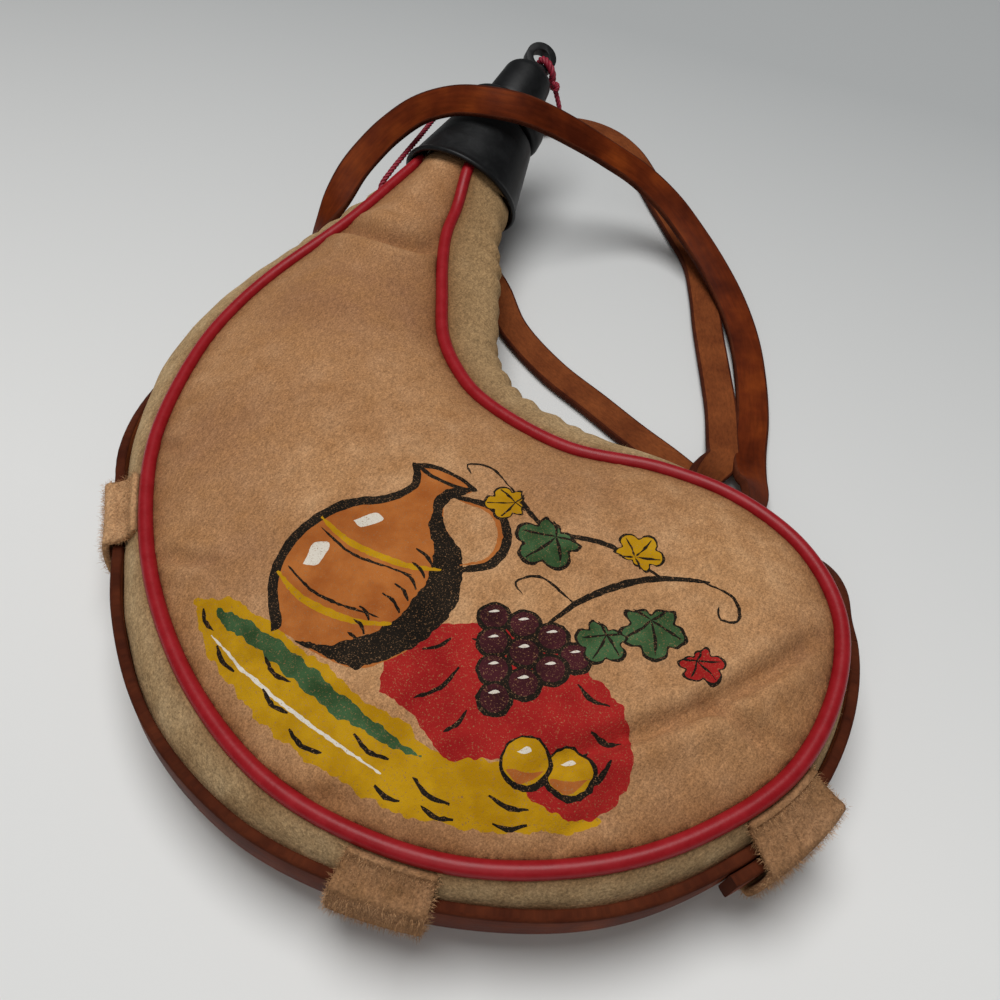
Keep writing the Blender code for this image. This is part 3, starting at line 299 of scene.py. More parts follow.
# The stage: soft lamps as name, place, width in metres and power in watts, and the room's own light
LAMPS = [
    ("soft_overhead", (-0.06, 0.12, 1.14), 0.8, 11.0),
    ("soft_front", (0.15, -0.66, 0.85), 0.7, 1.2),
]
LAMP_AIM = Vector((0.0, 0.03, 0.0))
ROOM_COLOUR = "#EEF0F2"
ROOM_STRENGTH = 0.13
TABLE_SIZE = 4.0

# The frame's own line for the mouthpiece: a point at the collar's rim and the direction outwards
TURN_JOINT = next(j for j in frame["joints"] if j["name"] == "spout_turn")
RIM = Vector(TURN_JOINT["pos_m"])
AXIS = Vector(TURN_JOINT["axis"]).normalized()
SIDE = Vector((1.0, 0.0, 0.0))
AXIS_UP = SIDE.cross(AXIS)
MOUTH = Matrix.Translation(RIM) @ Matrix((SIDE, -AXIS_UP, AXIS)).transposed().to_4x4()


def smooth_curve(points, samples_per_span=12):
    """A dense centripetal Catmull-Rom curve through rows of numbers."""
    pts = np.array(points, float)
    first = 2 * pts[0] - pts[1]
    last = 2 * pts[-1] - pts[-2]
    pts = np.vstack([first, pts, last])
    rows = []
    for p0, p1, p2, p3 in zip(pts[:-3], pts[1:-2], pts[2:-1], pts[3:]):
        knots = [0.0]
        for a, b in ((p0, p1), (p1, p2), (p2, p3)):
            knots.append(knots[-1] + math.sqrt(np.linalg.norm((b - a)[:3])))
        t0, t1, t2, t3 = knots
        for t in np.linspace(t1, t2, samples_per_span, endpoint=False):
            a1 = (t1 - t) / (t1 - t0) * p0 + (t - t0) / (t1 - t0) * p1
            a2 = (t2 - t) / (t2 - t1) * p1 + (t - t1) / (t2 - t1) * p2
            a3 = (t3 - t) / (t3 - t2) * p2 + (t - t2) / (t3 - t2) * p3
            b1 = (t2 - t) / (t2 - t0) * a1 + (t - t0) / (t2 - t0) * a2
            b2 = (t3 - t) / (t3 - t1) * a2 + (t - t1) / (t3 - t1) * a3
            rows.append((t2 - t) / (t2 - t1) * b1 + (t - t1) / (t2 - t1) * b2)
    rows.append(pts[-2])
    return np.array(rows)


def lengths_along(rows):
    """Distance along a dense curve at each of its rows."""
    steps = np.linalg.norm(np.diff(rows[:, :3], axis=0), axis=1)
    return np.concatenate([[0.0], np.cumsum(steps)])


def sample(rows, distances):
    """Rows of a dense curve at given distances along it."""
    along = lengths_along(rows)
    return np.stack([np.interp(distances, along, rows[:, c]) for c in range(rows.shape[1])], axis=1)


def unit(rows):
    """Rows scaled to length one."""
    return rows / np.linalg.norm(rows, axis=-1, keepdims=True)


def neck_point(station, radius, degrees):
    """A point on the round neck, at a distance along its axis and an angle from its top."""
    angle = math.radians(degrees)
    return RIM + AXIS * float(station) + float(radius) * (math.sin(angle) * SIDE + math.cos(angle) * AXIS_UP)


def seam_controls():
    """Front seam, back seam and bulge at each control point, from the neck's left to its right."""
    stations = [(NECK_INSERT, NECK_END_RADIUS), (NECK_WAIST, NECK_WAIST_RADIUS), (0.0, NECK_MOUTH_RADIUS)]
    left, right = [], []
    for station, radius in stations:
        for rows, front, back in (
            (left, FRONT_LEFT_DEGREES, BACK_LEFT_DEGREES),
            (right, FRONT_RIGHT_DEGREES, BACK_RIGHT_DEGREES),
        ):
            bulge = radius * (1 - math.cos(math.radians(back - front) / 2))
            rows.append([*neck_point(station, radius, front), *neck_point(station, radius, back), bulge])
    body = []
    for x_share, y_share, bulge_share in SEAM_SHARES:
        x, y = x_share * BAG_WIDTH, y_share * BAG_LENGTH
        climb = (y - RIM.y + SEAM_RISE_LENGTH) / SEAM_RISE_LENGTH
        rise = min(max(climb, 0.0), 1.0) ** SEAM_RISE_POWER * SEAM_RISE
        front = [x, y, FRONT_SEAM_HEIGHT + rise]
        back = [x + BACK_SHIFT_X, y + BACK_SHIFT_Y, BACK_SEAM_HEIGHT + rise / 2]
        body.append([*front, *back, bulge_share * GUSSET_BULGE])
    return left + body + right[::-1]


SEAM = smooth_curve(seam_controls(), 40)
SEAM_ALONG = lengths_along(SEAM)
SEAM_LENGTH = SEAM_ALONG[-1]


def level_out(points):
    """Level unit vectors that point out of the bag, square to a seam."""
    tangents = np.gradient(points, axis=0)
    return unit(np.stack([tangents[:, 1], -tangents[:, 0], np.zeros(len(points))], axis=1))


FRONT_OUT = level_out(SEAM[:, :3])
BACK_OUT = level_out(SEAM[:, 3:6])
CREASE_LINES = [(smooth_curve(np.array(places) / 1000, 10), depth, width) for places, depth, width in CREASES]


def seam_at(share):
    """Front seam, back seam, bulge and outward direction at a share of the seam's length."""
    distance = share * SEAM_LENGTH
    front, back, out = (
        np.array([np.interp(distance, SEAM_ALONG, rows[:, c]) for c in range(3)])
        for rows in (SEAM[:, :3], SEAM[:, 3:6], FRONT_OUT)
    )
    return front, back, np.interp(distance, SEAM_ALONG, SEAM[:, 6]), unit(out)


def gusset_profile(front, back, bulge, out, standoff=0.0, steps=60):
    """The gusset's section from the front seam to the back seam, moved off its surface by standoff."""
    q = np.linspace(0.0, 1.0, steps + 1)[:, None]
    rows = front + (back - front) * q + out * bulge * np.sin(math.pi * q)
    tangents = unit(np.gradient(rows, axis=0))
    return rows + unit(out - tangents * (tangents @ out)[:, None]) * standoff


def trimmed(rows, start, end, count):
    """Even points on a section after both ends are cut back."""
    return sample(rows, np.linspace(start, lengths_along(rows)[-1] - end, count + 1))


def round_neck(start, end, steps, trim):
    """Even points round the neck between two seams, clockwise seen from the bag, cut back by trim."""
    ends = []
    for p in (start, end):
        v = Vector(p) - RIM
        side, up = v.dot(SIDE), v.dot(AXIS_UP)
        ends.append((v.dot(AXIS), math.hypot(side, up), math.degrees(math.atan2(side, up))))
    (first_station, first_radius, first), (last_station, last_radius, last) = ends
    last += 360 if last < first else 0
    cut = math.degrees(trim / first_radius)
    rows = []
    for k in range(steps + 1):
        t = k / steps
        station = first_station + (last_station - first_station) * t
        radius = first_radius + (last_radius - first_radius) * t
        rows.append(neck_point(station, radius, first + cut + (last - first - 2 * cut) * t))
    return np.array(rows)


def finish_mesh(name, bm, *finishes):
    """Link an object for a finished bmesh, smooth shaded, with its materials."""
    mesh = bpy.data.meshes.new(name)
    bm.to_mesh(mesh)
    bm.free()
    mesh.shade_smooth()
    made = bpy.data.objects.new(name, mesh)
    bpy.context.scene.collection.objects.link(made)
    for finish in finishes:
        mesh.materials.append(finish)
    return made


def apply_modifiers(piece):
    """Apply a piece's modifiers in their order."""
    bpy.ops.object.select_all(action="DESELECT")
    piece.select_set(True)
    bpy.context.view_layer.objects.active = piece
    for modifier in list(piece.modifiers):
        bpy.ops.object.modifier_apply(modifier=modifier.name)


def thicken(piece, thickness, offset):
    """Give a leather surface its wall."""
    solid = piece.modifiers.new("Wall", "SOLIDIFY")
    solid.thickness = thickness
    solid.offset = offset
    apply_modifiers(piece)


def ride_for(piece, body, slot, *nodes):
    """A piece that stands for CAD nodes rides on their body, and the nodes are hidden. The slot is not used.
    """
    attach(piece, body)
    if nodes:
        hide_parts(*nodes)


def linear_colour(hex_colour):
    """An sRGB hex colour as linear red, green, blue and alpha."""
    channels = [int(hex_colour[i:i + 2], 16) / 255 for i in (1, 3, 5)]
    return (*(c / 12.92 if c <= 0.04045 else ((c + 0.055) / 1.055) ** 2.4 for c in channels), 1.0)


def add_node(tree, kind, links=None, **settings):
    """Add a shader node, set its properties and inputs, and link what it reads."""
    made = tree.nodes.new(kind)
    for key, value in settings.items():
        if key.startswith("in_"):
            index = key[3:]
            socket = made.inputs[int(index)] if index.isdigit() else made.inputs[index.replace("_", " ")]
            socket.default_value = value
        else:
            setattr(made, key, value)
    for key, output in (links or {}).items():
        tree.links.new(output, made.inputs[key])
    return made


def new_material(name, **inputs):
    """A material, its tree, its Principled shader with some inputs set, and its Object coordinates."""
    made = bpy.data.materials.new(name)
    made.use_nodes = True
    tree = made.node_tree
    shader = tree.nodes["Principled BSDF"]
    for key, value in inputs.items():
        shader.inputs[key.replace("_", " ")].default_value = value
    return made, tree, shader, add_node(tree, "ShaderNodeTexCoord").outputs["Object"]


def ramp(tree, factor, stops):
    """A colour ramp with hex stops."""
    made = add_node(tree, "ShaderNodeValToRGB", {"Fac": factor})
    made.color_ramp.elements[0].position = stops[0][0]
    made.color_ramp.elements[0].color = linear_colour(stops[0][1])
    made.color_ramp.elements[1].position = stops[-1][0]
    made.color_ramp.elements[1].color = linear_colour(stops[-1][1])
    for place, colour in stops[1:-1]:
        made.color_ramp.elements.new(place).color = linear_colour(colour)
    return made.outputs["Color"]


def mixed(tree, mode, share, a, b):
    """Two colours mixed. The share is a number or an output."""
    made = add_node(tree, "ShaderNodeMix", data_type="RGBA", blend_type=mode)
    for index, value in ((0, share), (6, a), (7, b)):
        if isinstance(value, bpy.types.NodeSocket):
            tree.links.new(value, made.inputs[index])
        else:
            made.inputs[index].default_value = value
    return made.outputs[2]


def noise_at(tree, coordinates, size, detail=2.0, roughness=0.5, distortion=0.0):
    """Noise whose lumps are about a given size in metres."""
    return add_node(
        tree, "ShaderNodeTexNoise", {"Vector": coordinates},
        in_Scale=1.0 / size, in_Detail=detail, in_Roughness=roughness, in_Distortion=distortion,
    ).outputs["Fac"]


def bumped(tree, shader, height, depth, strength=1.0, below=None):
    """A bump of a given depth in metres, over another."""
    links = {"Height": height}
    if below is not None:
        links["Normal"] = below
    made = add_node(tree, "ShaderNodeBump", links, in_Strength=strength, in_Distance=depth)
    tree.links.new(made.outputs["Normal"], shader.inputs["Normal"])
    return made.outputs["Normal"]


def strip_place(tree, stretch):
    """The strap's own UV in metres, with marks drawn out along its length."""
    strip = add_node(tree, "ShaderNodeUVMap", uv_map="strip").outputs["UV"]
    drawn = add_node(tree, "ShaderNodeMapping", {"Vector": strip}, in_Scale=(stretch, 1.0, 1.0))
    return drawn.outputs["Vector"]


def marked(tree, name):
    """A mesh's own number at each point."""
    return add_node(tree, "ShaderNodeAttribute", attribute_name=name).outputs["Fac"]


def uneven_gloss(tree, shader, factor, low, high):
    """Roughness that runs from low to high with a factor."""
    made = add_node(tree, "ShaderNodeMapRange", {"Value": factor}, in_3=low, in_4=high)
    tree.links.new(made.outputs["Result"], shader.inputs["Roughness"])


def suede(name, dark, middle, light, stain, nap=0.0004, ink=None):
    """Split leather buffed to a nap, bare or printed.

    It is dull and mottled where the nap lies over. The fibre gives the eye a soft fleck and the clouds
    give it marks from hands. A point attribute darkens it with stains and with painted shade along the
    creases and at the gusset's neck, and the seam attribute with grime and painted shade beside the
    piping. Ink sits on the tips of the nap, so that the leather shows through it in specks.
    """
    made, tree, shader, place = new_material(
        name, Roughness=0.92, Specular_IOR_Level=0.08, Sheen_Weight=0.06, Sheen_Roughness=0.5,
        Sheen_Tint=linear_colour(light))
    cloud = noise_at(tree, place, 0.034, 4.0, 0.6, 0.4)
    patch = noise_at(tree, place, 0.009, 3.0, 0.6)
    brushed = add_node(
        tree, "ShaderNodeMapping", {"Vector": place}, in_Rotation=(0.0, 0.0, math.radians(35)),
        in_Scale=(1.0, 0.45, 1.0),
    ).outputs["Vector"]
    fibre = noise_at(tree, brushed, nap * 1.7, 3.0, 0.75)
    grit = noise_at(tree, place, nap, 2.0, 0.8)
    colour = ramp(tree, patch, [(0.26, dark), (0.50, middle), (0.76, light)])
    colour = mixed(tree, "MULTIPLY", 0.30, colour, ramp(tree, cloud, [(0.40, stain), (0.58, "#FFFFFF")]))
    uneven = ramp(tree, patch, [(0.25, "#8C8C8C"), (0.60, "#FFFFFF")])
    # Stains, and painted shade along the creases and at the gusset's neck, from a point attribute
    stain_and_shade_share = mixed(tree, "MULTIPLY", 1.0, marked(tree, "stain"), uneven)
    colour = mixed(tree, "MULTIPLY", stain_and_shade_share, colour, linear_colour(stain))
    # A band beside the piping, darker as grime and as painted shade from the piping
    colour = mixed(tree, "MULTIPLY", marked(tree, "seam"), colour, linear_colour("#B9A393"))
    for share, fleck in ((0.6, fibre), (0.8, grit)):
        tips = ramp(tree, fleck, [(0.30, "#909090"), (0.70, "#DADADA")])
        colour = mixed(tree, "OVERLAY", share, colour, tips)
    if ink:
        cover = ramp(tree, grit, [(0.29, "#000000"), (0.41, "#FFFFFF")])
        colour = mixed(tree, "MIX", cover, colour, ramp(tree, patch, [(0.35, ink[0]), (0.65, ink[1])]))
    tree.links.new(colour, shader.inputs["Base Color"])
    bumped(tree, shader, grit, 0.0001, 0.8, bumped(tree, shader, fibre, 0.0002, 0.8))
    return made


def vinyl(name, colour, worn):
    """Soft plasticised vinyl: a broad soft gloss, faint scuffs."""
    made, tree, shader, place = new_material(name, Specular_IOR_Level=0.26)
    scuff = noise_at(tree, place, 0.004, 4.0, 0.7)
    tree.links.new(ramp(tree, scuff, [(0.35, colour), (0.75, worn)]), shader.inputs["Base Color"])
    uneven_gloss(tree, shader, scuff, 0.30, 0.46)
    bumped(tree, shader, noise_at(tree, place, 0.0012, 2.0), 0.00006, 0.6)
    return made


def grain_leather(name, dark, middle, light):
    """Vegetable tanned leather, grain side out: waxed, low gloss, fine pores and pulled streaks."""
    made, tree, shader, place = new_material(name, Specular_IOR_Level=0.05)
    streak = noise_at(tree, strip_place(tree, 0.12), 0.0012, 4.0, 0.65)
    cloud = noise_at(tree, place, 0.016, 3.0, 0.55)
    pore = noise_at(tree, place, 0.0006, 2.0, 0.7)
    base = ramp(tree, cloud, [(0.32, dark), (0.52, middle), (0.74, light)])
    pulled = mixed(tree, "OVERLAY", 0.45, base, ramp(tree, streak, [(0.30, "#505050"), (0.70, "#B4B4B4")]))
    tree.links.new(pulled, shader.inputs["Base Color"])
    uneven_gloss(tree, shader, streak, 0.44, 0.62)
    bumped(tree, shader, pore, 0.0001, 0.5, bumped(tree, shader, streak, 0.00012, 0.6))
    return made


def flesh_leather(name, dark, light):
    """The strap's flesh side and its cut edges: raw fibre, dull."""
    made, tree, shader, place = new_material(name, Roughness=0.85, Specular_IOR_Level=0.12)
    fibre = noise_at(tree, strip_place(tree, 0.35), 0.0008, 4.0, 0.75)
    cloud = noise_at(tree, place, 0.01, 3.0, 0.55)
    base = ramp(tree, cloud, [(0.30, dark), (0.70, light)])
    flecked = mixed(tree, "OVERLAY", 0.6, base, ramp(tree, fibre, [(0.28, "#686868"), (0.72, "#C4C4C4")]))
    tree.links.new(flecked, shader.inputs["Base Color"])
    bumped(tree, shader, fibre, 0.0003, 0.7)
    return made


def moulded(name, colour, scuffed):
    """Compression moulded phenolic: satin black with handling marks."""
    made, tree, shader, place = new_material(name, Specular_IOR_Level=0.25)
    wear = noise_at(tree, place, 0.006, 5.0, 0.7, 0.6)
    tree.links.new(ramp(tree, wear, [(0.45, colour), (0.80, scuffed)]), shader.inputs["Base Color"])
    uneven_gloss(tree, shader, wear, 0.34, 0.58)
    bumped(tree, shader, noise_at(tree, place, 0.0015, 3.0, 0.6), 0.00008, 0.5)
    return made


def falloff_shaded_board(name):
    """A pale matt board, greyer with distance as painted shade for the lamps' falloff."""
    made, tree, shader, place = new_material(name, Roughness=0.6, Specular_IOR_Level=0.15)
    across = add_node(tree, "ShaderNodeSeparateXYZ", {"Vector": place}).outputs["Y"]
    far = add_node(tree, "ShaderNodeMapRange", {"Value": across}, in_1=-0.02, in_2=0.32).outputs["Result"]
    # Painted shade: the board darkens towards the back
    tree.links.new(ramp(tree, far, [(0.0, "#E2E2E0"), (1.0, "#B0B2B2")]), shader.inputs["Base Color"])
    return made


def plain_finish(name, colour, other, size, roughness, depth, metallic=0.0):
    """A quiet finish with slight mottling: rubber, latex, wire, cord."""
    made, tree, shader, place = new_material(name, Roughness=roughness, Metallic=metallic)
    mottle = noise_at(tree, place, size, 3.0, 0.6)
    tree.links.new(ramp(tree, mottle, [(0.35, colour), (0.68, other)]), shader.inputs["Base Color"])
    bumped(tree, shader, mottle, depth, 0.6)
    return made


# The tan suede's darker, middle and lighter tone, and the tone of its stains and painted shade
TAN_SUEDE = ("#A87A50", "#B6895F", "#C4996F", "#D6CBC9")

# The print's inks, each with its darker and its lighter tone
INKS = {
    "ochre": ("#A87A08", "#BE9014"),
    "red": ("#90191A", "#A42522"),
    "green": ("#2C4426", "#456440"),
    "orange": ("#9A5424", "#B26A32"),
    "plum": ("#2E1418", "#461E24"),
    "black": ("#17130F", "#231D17"),
    "white": ("#CFC7B9", "#DED6C8"),
}

FINISH = {
    "panel": suede("tan_split_suede", *TAN_SUEDE),
    "back": suede("tan_split_suede_back", *TAN_SUEDE),
    "gusset": suede("undyed_suede", "#A48660", "#B59870", "#C5AA82", "#D4C8BA", 0.0006),
    "keeper": suede("rough_tan_suede", "#84603F", "#936D4C", "#A27B59", "#D8CCC4", 0.0006),
    "keeper_left": suede("rough_pale_suede", "#B0865E", "#BE946B", "#CCA278", "#D8CCC4", 0.0006),
    "vinyl": vinyl("soft_red_vinyl", "#8A0E16", "#9A1A22"),
    "grain": grain_leather("saddle_leather_grain", "#4A1907", "#68290D", "#883D14"),
    "edge": flesh_leather("saddle_leather_edge", "#431909", "#5C2A14"),
    "flesh": flesh_leather("saddle_leather_flesh", "#6E3618", "#8A4A24"),
    "phenolic": moulded("black_moulded_phenolic", "#0B0C0D", "#1A1B1C"),
    "rubber": plain_finish("black_washer_rubber", "#161616", "#222222", 0.002, 0.75, 0.00008),
    "latex": plain_finish("pale_latex_liner", "#AC9468", "#C0AA80", 0.006, 0.55, 0.0001),
    "wire": plain_finish("galvanised_binding_wire", "#8E8E8A", "#A8A8A4", 0.002, 0.42, 0.00003, 1.0),
    "cord": plain_finish("crimson_rayon_cord", "#7A0820", "#9A1432", 0.0006, 0.6, 0.0001),
}
INK_FINISHES = [suede("printed_suede_" + name, *TAN_SUEDE, ink=pair) for name, pair in INKS.items()]


def dense_line(points, step=0.0012):
    """Points at an even step along a polygon's sides."""
    rows = np.array(points)
    total = lengths_along(rows)[-1]
    return sample(rows, np.linspace(0.0, total, int(total / step) + 1))


def neck_underside(y):
    """How far the neck's underside stands off the table at this y."""
    lowest = neck_point(0.0, NECK_MOUTH_RADIUS + LEATHER_THICKNESS, 180.0)
    share = np.maximum((y - lowest.y + NECK_LIFT_LENGTH) / NECK_LIFT_LENGTH, 0.0)
    return lowest.z * share ** 2


def face_heights(points, rim, mouth, front):
    """Heights of a panel's middle surface over many points of the table."""
    known = np.vstack([rim, mouth])
    spacing = lengths_along(rim)[-1] / len(rim)
    heights = []
    for block in np.array_split(points, max(len(points) // POINTS_PER_BLOCK, 1)):
        # The seam's height spreads inwards by nearness, and the inset is a smoothed distance to the rim
        apart = np.linalg.norm(known[None, :, :2] - block[:, None, :2], axis=2)
        weights = 1 / (apart + GAP) ** 3
        base = weights @ known[:, 2] / weights.sum(axis=1)
        to_rim = apart[:, :len(rim)] + GAP
        inset = (np.sum(spacing / to_rim ** 4, axis=1) * 2 / math.pi) ** (-1 / 3)
        if front:
            mouth_gap = apart[:, len(rim):].min(axis=1)
            fade = mouth_gap ** 2 / (mouth_gap ** 2 + NECK_MOUTH_RADIUS ** 2 / 4)
            share = np.minimum(inset / CROWN_REACH, 1.0)
            heights.append(base + CROWN_HEIGHT * (1 - (1 - share) ** 2) * fade)
        else:
            share = np.minimum(inset / (2 * BACK_RISE_REACH), 1.0)
            floor = LEATHER_THICKNESS / 2 + neck_underside(block[:, 1])
            heights.append(floor + (base - floor) * (1 - share) ** 2)
    return np.concatenate(heights)


def inside(points, outline):
    """Which of many points lie inside a closed polygon, seen from above."""
    crossings = np.zeros(len(points), int)
    for a, b in zip(outline, np.roll(outline, -1, axis=0)):
        spans = (a[1] > points[:, 1]) != (b[1] > points[:, 1])
        if spans.any():
            crossings += spans & (points[:, 0] < a[0] + (b[0] - a[0]) * (points[:, 1] - a[1]) / (b[1] - a[1]))
    return crossings % 2 == 1


def hexagonal_spots(low, high, cell):
    """Points of a triangular grid that covers a box."""
    spots = []
    for k, y in enumerate(np.arange(low[1], high[1], cell * math.sqrt(3) / 2)):
        for x in np.arange(low[0] + (k % 2) * cell / 2, high[0], cell):
            spots.append((x, y))
    return np.array(spots)


def clear_of(spots, line, clear):
    """The spots that lie further than clear from a line's points."""
    tree = kdtree.KDTree(len(line))
    for k, (x, y) in enumerate(line):
        tree.insert((x, y, 0.0), k)
    tree.balance()
    return spots[[tree.find((x, y, 0.0))[2] > clear for x, y in spots]]


def fill_outline(outline, cell, clear, shapes):
    """Triangles that fill an outline seen from above: plan points, faces and the shape that each lies in."""
    line = dense_line(np.vstack([outline, outline[:1]]))[:, :2]
    spots = hexagonal_spots(outline.min(axis=0), outline.max(axis=0), cell)
    spots = clear_of(spots[inside(spots, outline[:, :2])], line, clear)
    points = list(outline[:, :2])
    loops = [list(range(len(outline)))]
    for shape in shapes:
        loops.append(list(range(len(points), len(points) + len(shape))))
        points += list(shape)
    if shapes:
        spots = clear_of(spots, np.vstack(shapes), clear * 0.4)
    points += list(spots)
    # Every outline is kept as edges, so that each ink is whole faces
    made = geometry.delaunay_2d_cdt([Vector(p) for p in points], [], loops, 1, 1e-7)
    places = np.array([(p.x, p.y) for p in made[0]])
    middles = np.array([places[face].mean(axis=0) for face in made[2]])
    within = np.zeros(len(middles), int)
    for k, shape in enumerate(shapes):
        low, high = shape.min(axis=0), shape.max(axis=0)
        near = np.flatnonzero(((middles > low) & (middles < high)).all(axis=1))
        within[near[inside(middles[near], shape)]] = k + 1
    return made[0], made[2], within


def panel_relief(points, seam_gap):
    """How far slack and creases raise the front panel, at many points and their distances to the seam."""
    fade = 1 - np.exp(-seam_gap / SLACK_FADE)
    relief = np.array([
        noise.noise(Vector(p) * BROAD_LUMPS) * SLACK + noise.noise(Vector(p) * FINE_LUMPS) * SLACK / 3
        for p in points
    ]) * fade
    # A crease sinks along its line, and the leather beside it is pushed up
    for line, depth, width in CREASE_LINES:
        apart = np.linalg.norm(points[:, None, :2] - line[None], axis=2)
        along = (apart.argmin(axis=1) + 0.5) / len(line)
        gap = apart.min(axis=1) / width
        shape = 0.7 * np.exp(-((gap - 2.4) / 1.6) ** 2) - np.exp(-gap ** 2)
        relief += depth * np.sin(math.pi * along) ** 0.5 * shape
    return relief


def mark_points(made, name, values):
    """Store a number for each of a mesh's first points, and nothing for the rest."""
    numbers = np.zeros(len(made.data.vertices), np.float32)
    numbers[:len(values)] = values
    made.data.attributes.new(name, "FLOAT", "POINT").data.foreach_set("value", numbers)


def stained(points):
    """How strongly stains, broad patches of painted shade and painted shade along the creases mark each of
    many points.
    """
    total = np.zeros(len(points))
    for x, y, reach, strength in STAINS_AND_SHADE:
        gap = np.linalg.norm(points[:, :2] - np.array((x, y)) / 1000, axis=1)
        total += strength * np.exp(-(gap / reach) ** 2)
    # Painted shade along the creases, darkest where the crease is deepest
    for line, depth, width in CREASE_LINES:
        gap = np.linalg.norm(points[:, None, :2] - line[None], axis=2).min(axis=1)
        total += depth / DEEPEST_CREASE * np.exp(-(gap / width) ** 2)
    return np.clip(total, 0.0, 1.0)


def panel_surface(name, seam, out, front, finishes, shapes=()):
    """A panel as one fine surface, from inside the collar to the seam, its edge tucked at the piping."""
    along = lengths_along(seam)
    neck = np.linspace(0.0, NECK_INSERT, NECK_ROWS)
    arcs = []
    for left, right in zip(sample(seam, neck), sample(seam, along[-1] - neck)):
        if front:
            arcs.append(round_neck(left, right, NECK_ARC_STEPS, TUCK))
        else:
            arcs.append(round_neck(right, left, NECK_ARC_STEPS, TUCK)[::-1])
    count = int((along[-1] - 2 * NECK_INSERT) / PANEL_CELL)
    spots = np.linspace(NECK_INSERT, along[-1] - NECK_INSERT, count)[1:-1]
    tucked = seam - out * TUCK
    edge = sample(tucked, np.interp(spots, along, lengths_along(tucked)))
    mouth = arcs[-1]
    rim = dense_line(np.vstack([mouth[:1], edge, mouth[-1:]]), PANEL_CELL)
    outline = np.vstack([mouth, edge[::-1]])
    inked = [shape for ink, shape in shapes]
    plan, faces, within = fill_outline(outline, PANEL_CELL, PANEL_CELL * 0.6, inked)
    points = np.array([(p.x, p.y, 0.0) for p in plan])
    points[:len(outline), 2] = outline[:, 2]
    inner = points[len(outline):]
    inner[:, 2] = face_heights(inner, rim, mouth, front)
    seam_gap = np.concatenate([
        np.linalg.norm(block[:, None, :2] - rim[None, :, :2], axis=2).min(axis=1)
        for block in np.array_split(points, len(points) // POINTS_PER_BLOCK)
    ])
    if front:
        inner[:, 2] += panel_relief(inner, seam_gap[len(outline):])
    bm = bmesh.new()
    verts = [bm.verts.new(p) for p in points]
    inks = [0, *(1 + ink for ink, shape in shapes)]
    for face, shape in zip(faces, within):
        bm.faces.new([verts[k] for k in face]).material_index = inks[shape]
    upper = verts[:len(mouth)]
    for row in reversed(arcs[:-1]):
        lower = [bm.verts.new(p) for p in row]
        for j in range(len(row) - 1):
            bm.faces.new((upper[j], upper[j + 1], lower[j + 1], lower[j]))
        upper = lower
    bmesh.ops.recalc_face_normals(bm, faces=bm.faces[:])
    bm.normal_update()
    if (sum(f.normal.z for f in bm.faces) > 0) != front:
        bmesh.ops.reverse_faces(bm, faces=bm.faces[:])
    made = finish_mesh(name, bm, *finishes)
    # The band beside the piping: grime, and painted shade from the piping
    mark_points(made, "seam", np.exp(-seam_gap / PANEL_GRIME_AND_SHADE_REACH))
    if front:
        # Stains, with painted shade in broad patches and along the creases
        mark_points(made, "stain", stained(points))
    return made


def wavering(line, rough, wave=0.9):
    """An outline in millimetres with the uneven edge of ink on nap."""
    normals = unit(np.roll(line, -1, axis=0) - np.roll(line, 1, axis=0))[:, ::-1] * (1, -1)
    uneven = [
        noise.noise((x * wave, y * wave, 0.5)) + noise.noise((x * 3 * wave, y * 3 * wave, 7.5)) / 3
        for x, y in line
    ]
    return line + normals * np.array(uneven)[:, None] * rough


def as_shape(line):
    """An outline in millimetres as one in metres that runs anticlockwise."""
    x, y = line[:, 0], line[:, 1]
    area = np.sum(x * np.roll(y, -1) - y * np.roll(x, -1))
    return (line if area > 0 else line[::-1]) / 1000


def ink_patch(points, rough=0.6):
    """A printed patch, curved through points in millimetres."""
    dense = smooth_curve(np.array([*points, points[0]], float), 10)
    line = sample(dense, np.arange(0.0, lengths_along(dense)[-1], INK_STEP_MM))
    return as_shape(wavering(line, rough * 0.8, 0.5))


def ink_stroke(points, width, rough=0.25):
    """A brush stroke through points in millimetres, thin at both ends."""
    dense = smooth_curve(np.array(points, float), 10)
    total = lengths_along(dense)[-1]
    line = sample(dense, np.linspace(0.0, total, max(int(total / STROKE_STEP_MM), 4) + 1))
    side = unit(np.gradient(line, axis=0))[:, ::-1] * (1, -1)
    swell = 0.12 + 0.88 * np.sin(math.pi * np.linspace(0.03, 0.97, len(line))) ** 0.6
    offset = side * swell[:, None] * width / 2
    return as_shape(wavering(np.vstack([line + offset, (line - offset)[::-1]]), rough, 1.6))


def ink_disc(x, y, radius, rough=0.25):
    """A printed round."""
    angles = np.linspace(0.0, 2 * math.pi, max(int(radius * 7), 8), endpoint=False)
    line = np.stack([x + radius * np.cos(angles), y + radius * np.sin(angles)], axis=1)
    return as_shape(wavering(line, rough))


def vine_leaf(x, y, size, turn, ink):
    """A five lobed leaf with its dark outline and veins, as inks and shapes."""
    angles = np.radians(np.arange(0, 360, 12))
    reach = size * (0.66 + 0.30 * np.abs(np.cos(angles * 2.5)) ** 0.7) * (1 - 0.25 * (np.cos(angles) < -0.8))
    lean = angles + math.radians(turn)
    rim = np.stack([x + reach * np.cos(lean), y + reach * np.sin(lean)], axis=1)
    shapes = [("black", ink_patch(rim, 0.5)), (ink, ink_patch((rim - (x, y)) * 0.88 + (x, y), 0.4))]
    stalk = math.radians(turn)
    root = (x - size * 0.3 * math.cos(stalk), y - size * 0.3 * math.sin(stalk))
    for lobe in (0, 72, -72, 144, -144):
        a = math.radians(lobe + turn)
        tip = (x + size * 0.78 * math.cos(a), y + size * 0.78 * math.sin(a))
        middle = ((tip[0] + root[0]) / 2 + size * 0.05, (tip[1] + root[1]) / 2)
        shapes.append(("black", ink_stroke([root, middle, tip], 0.09 * size)))
    return shapes


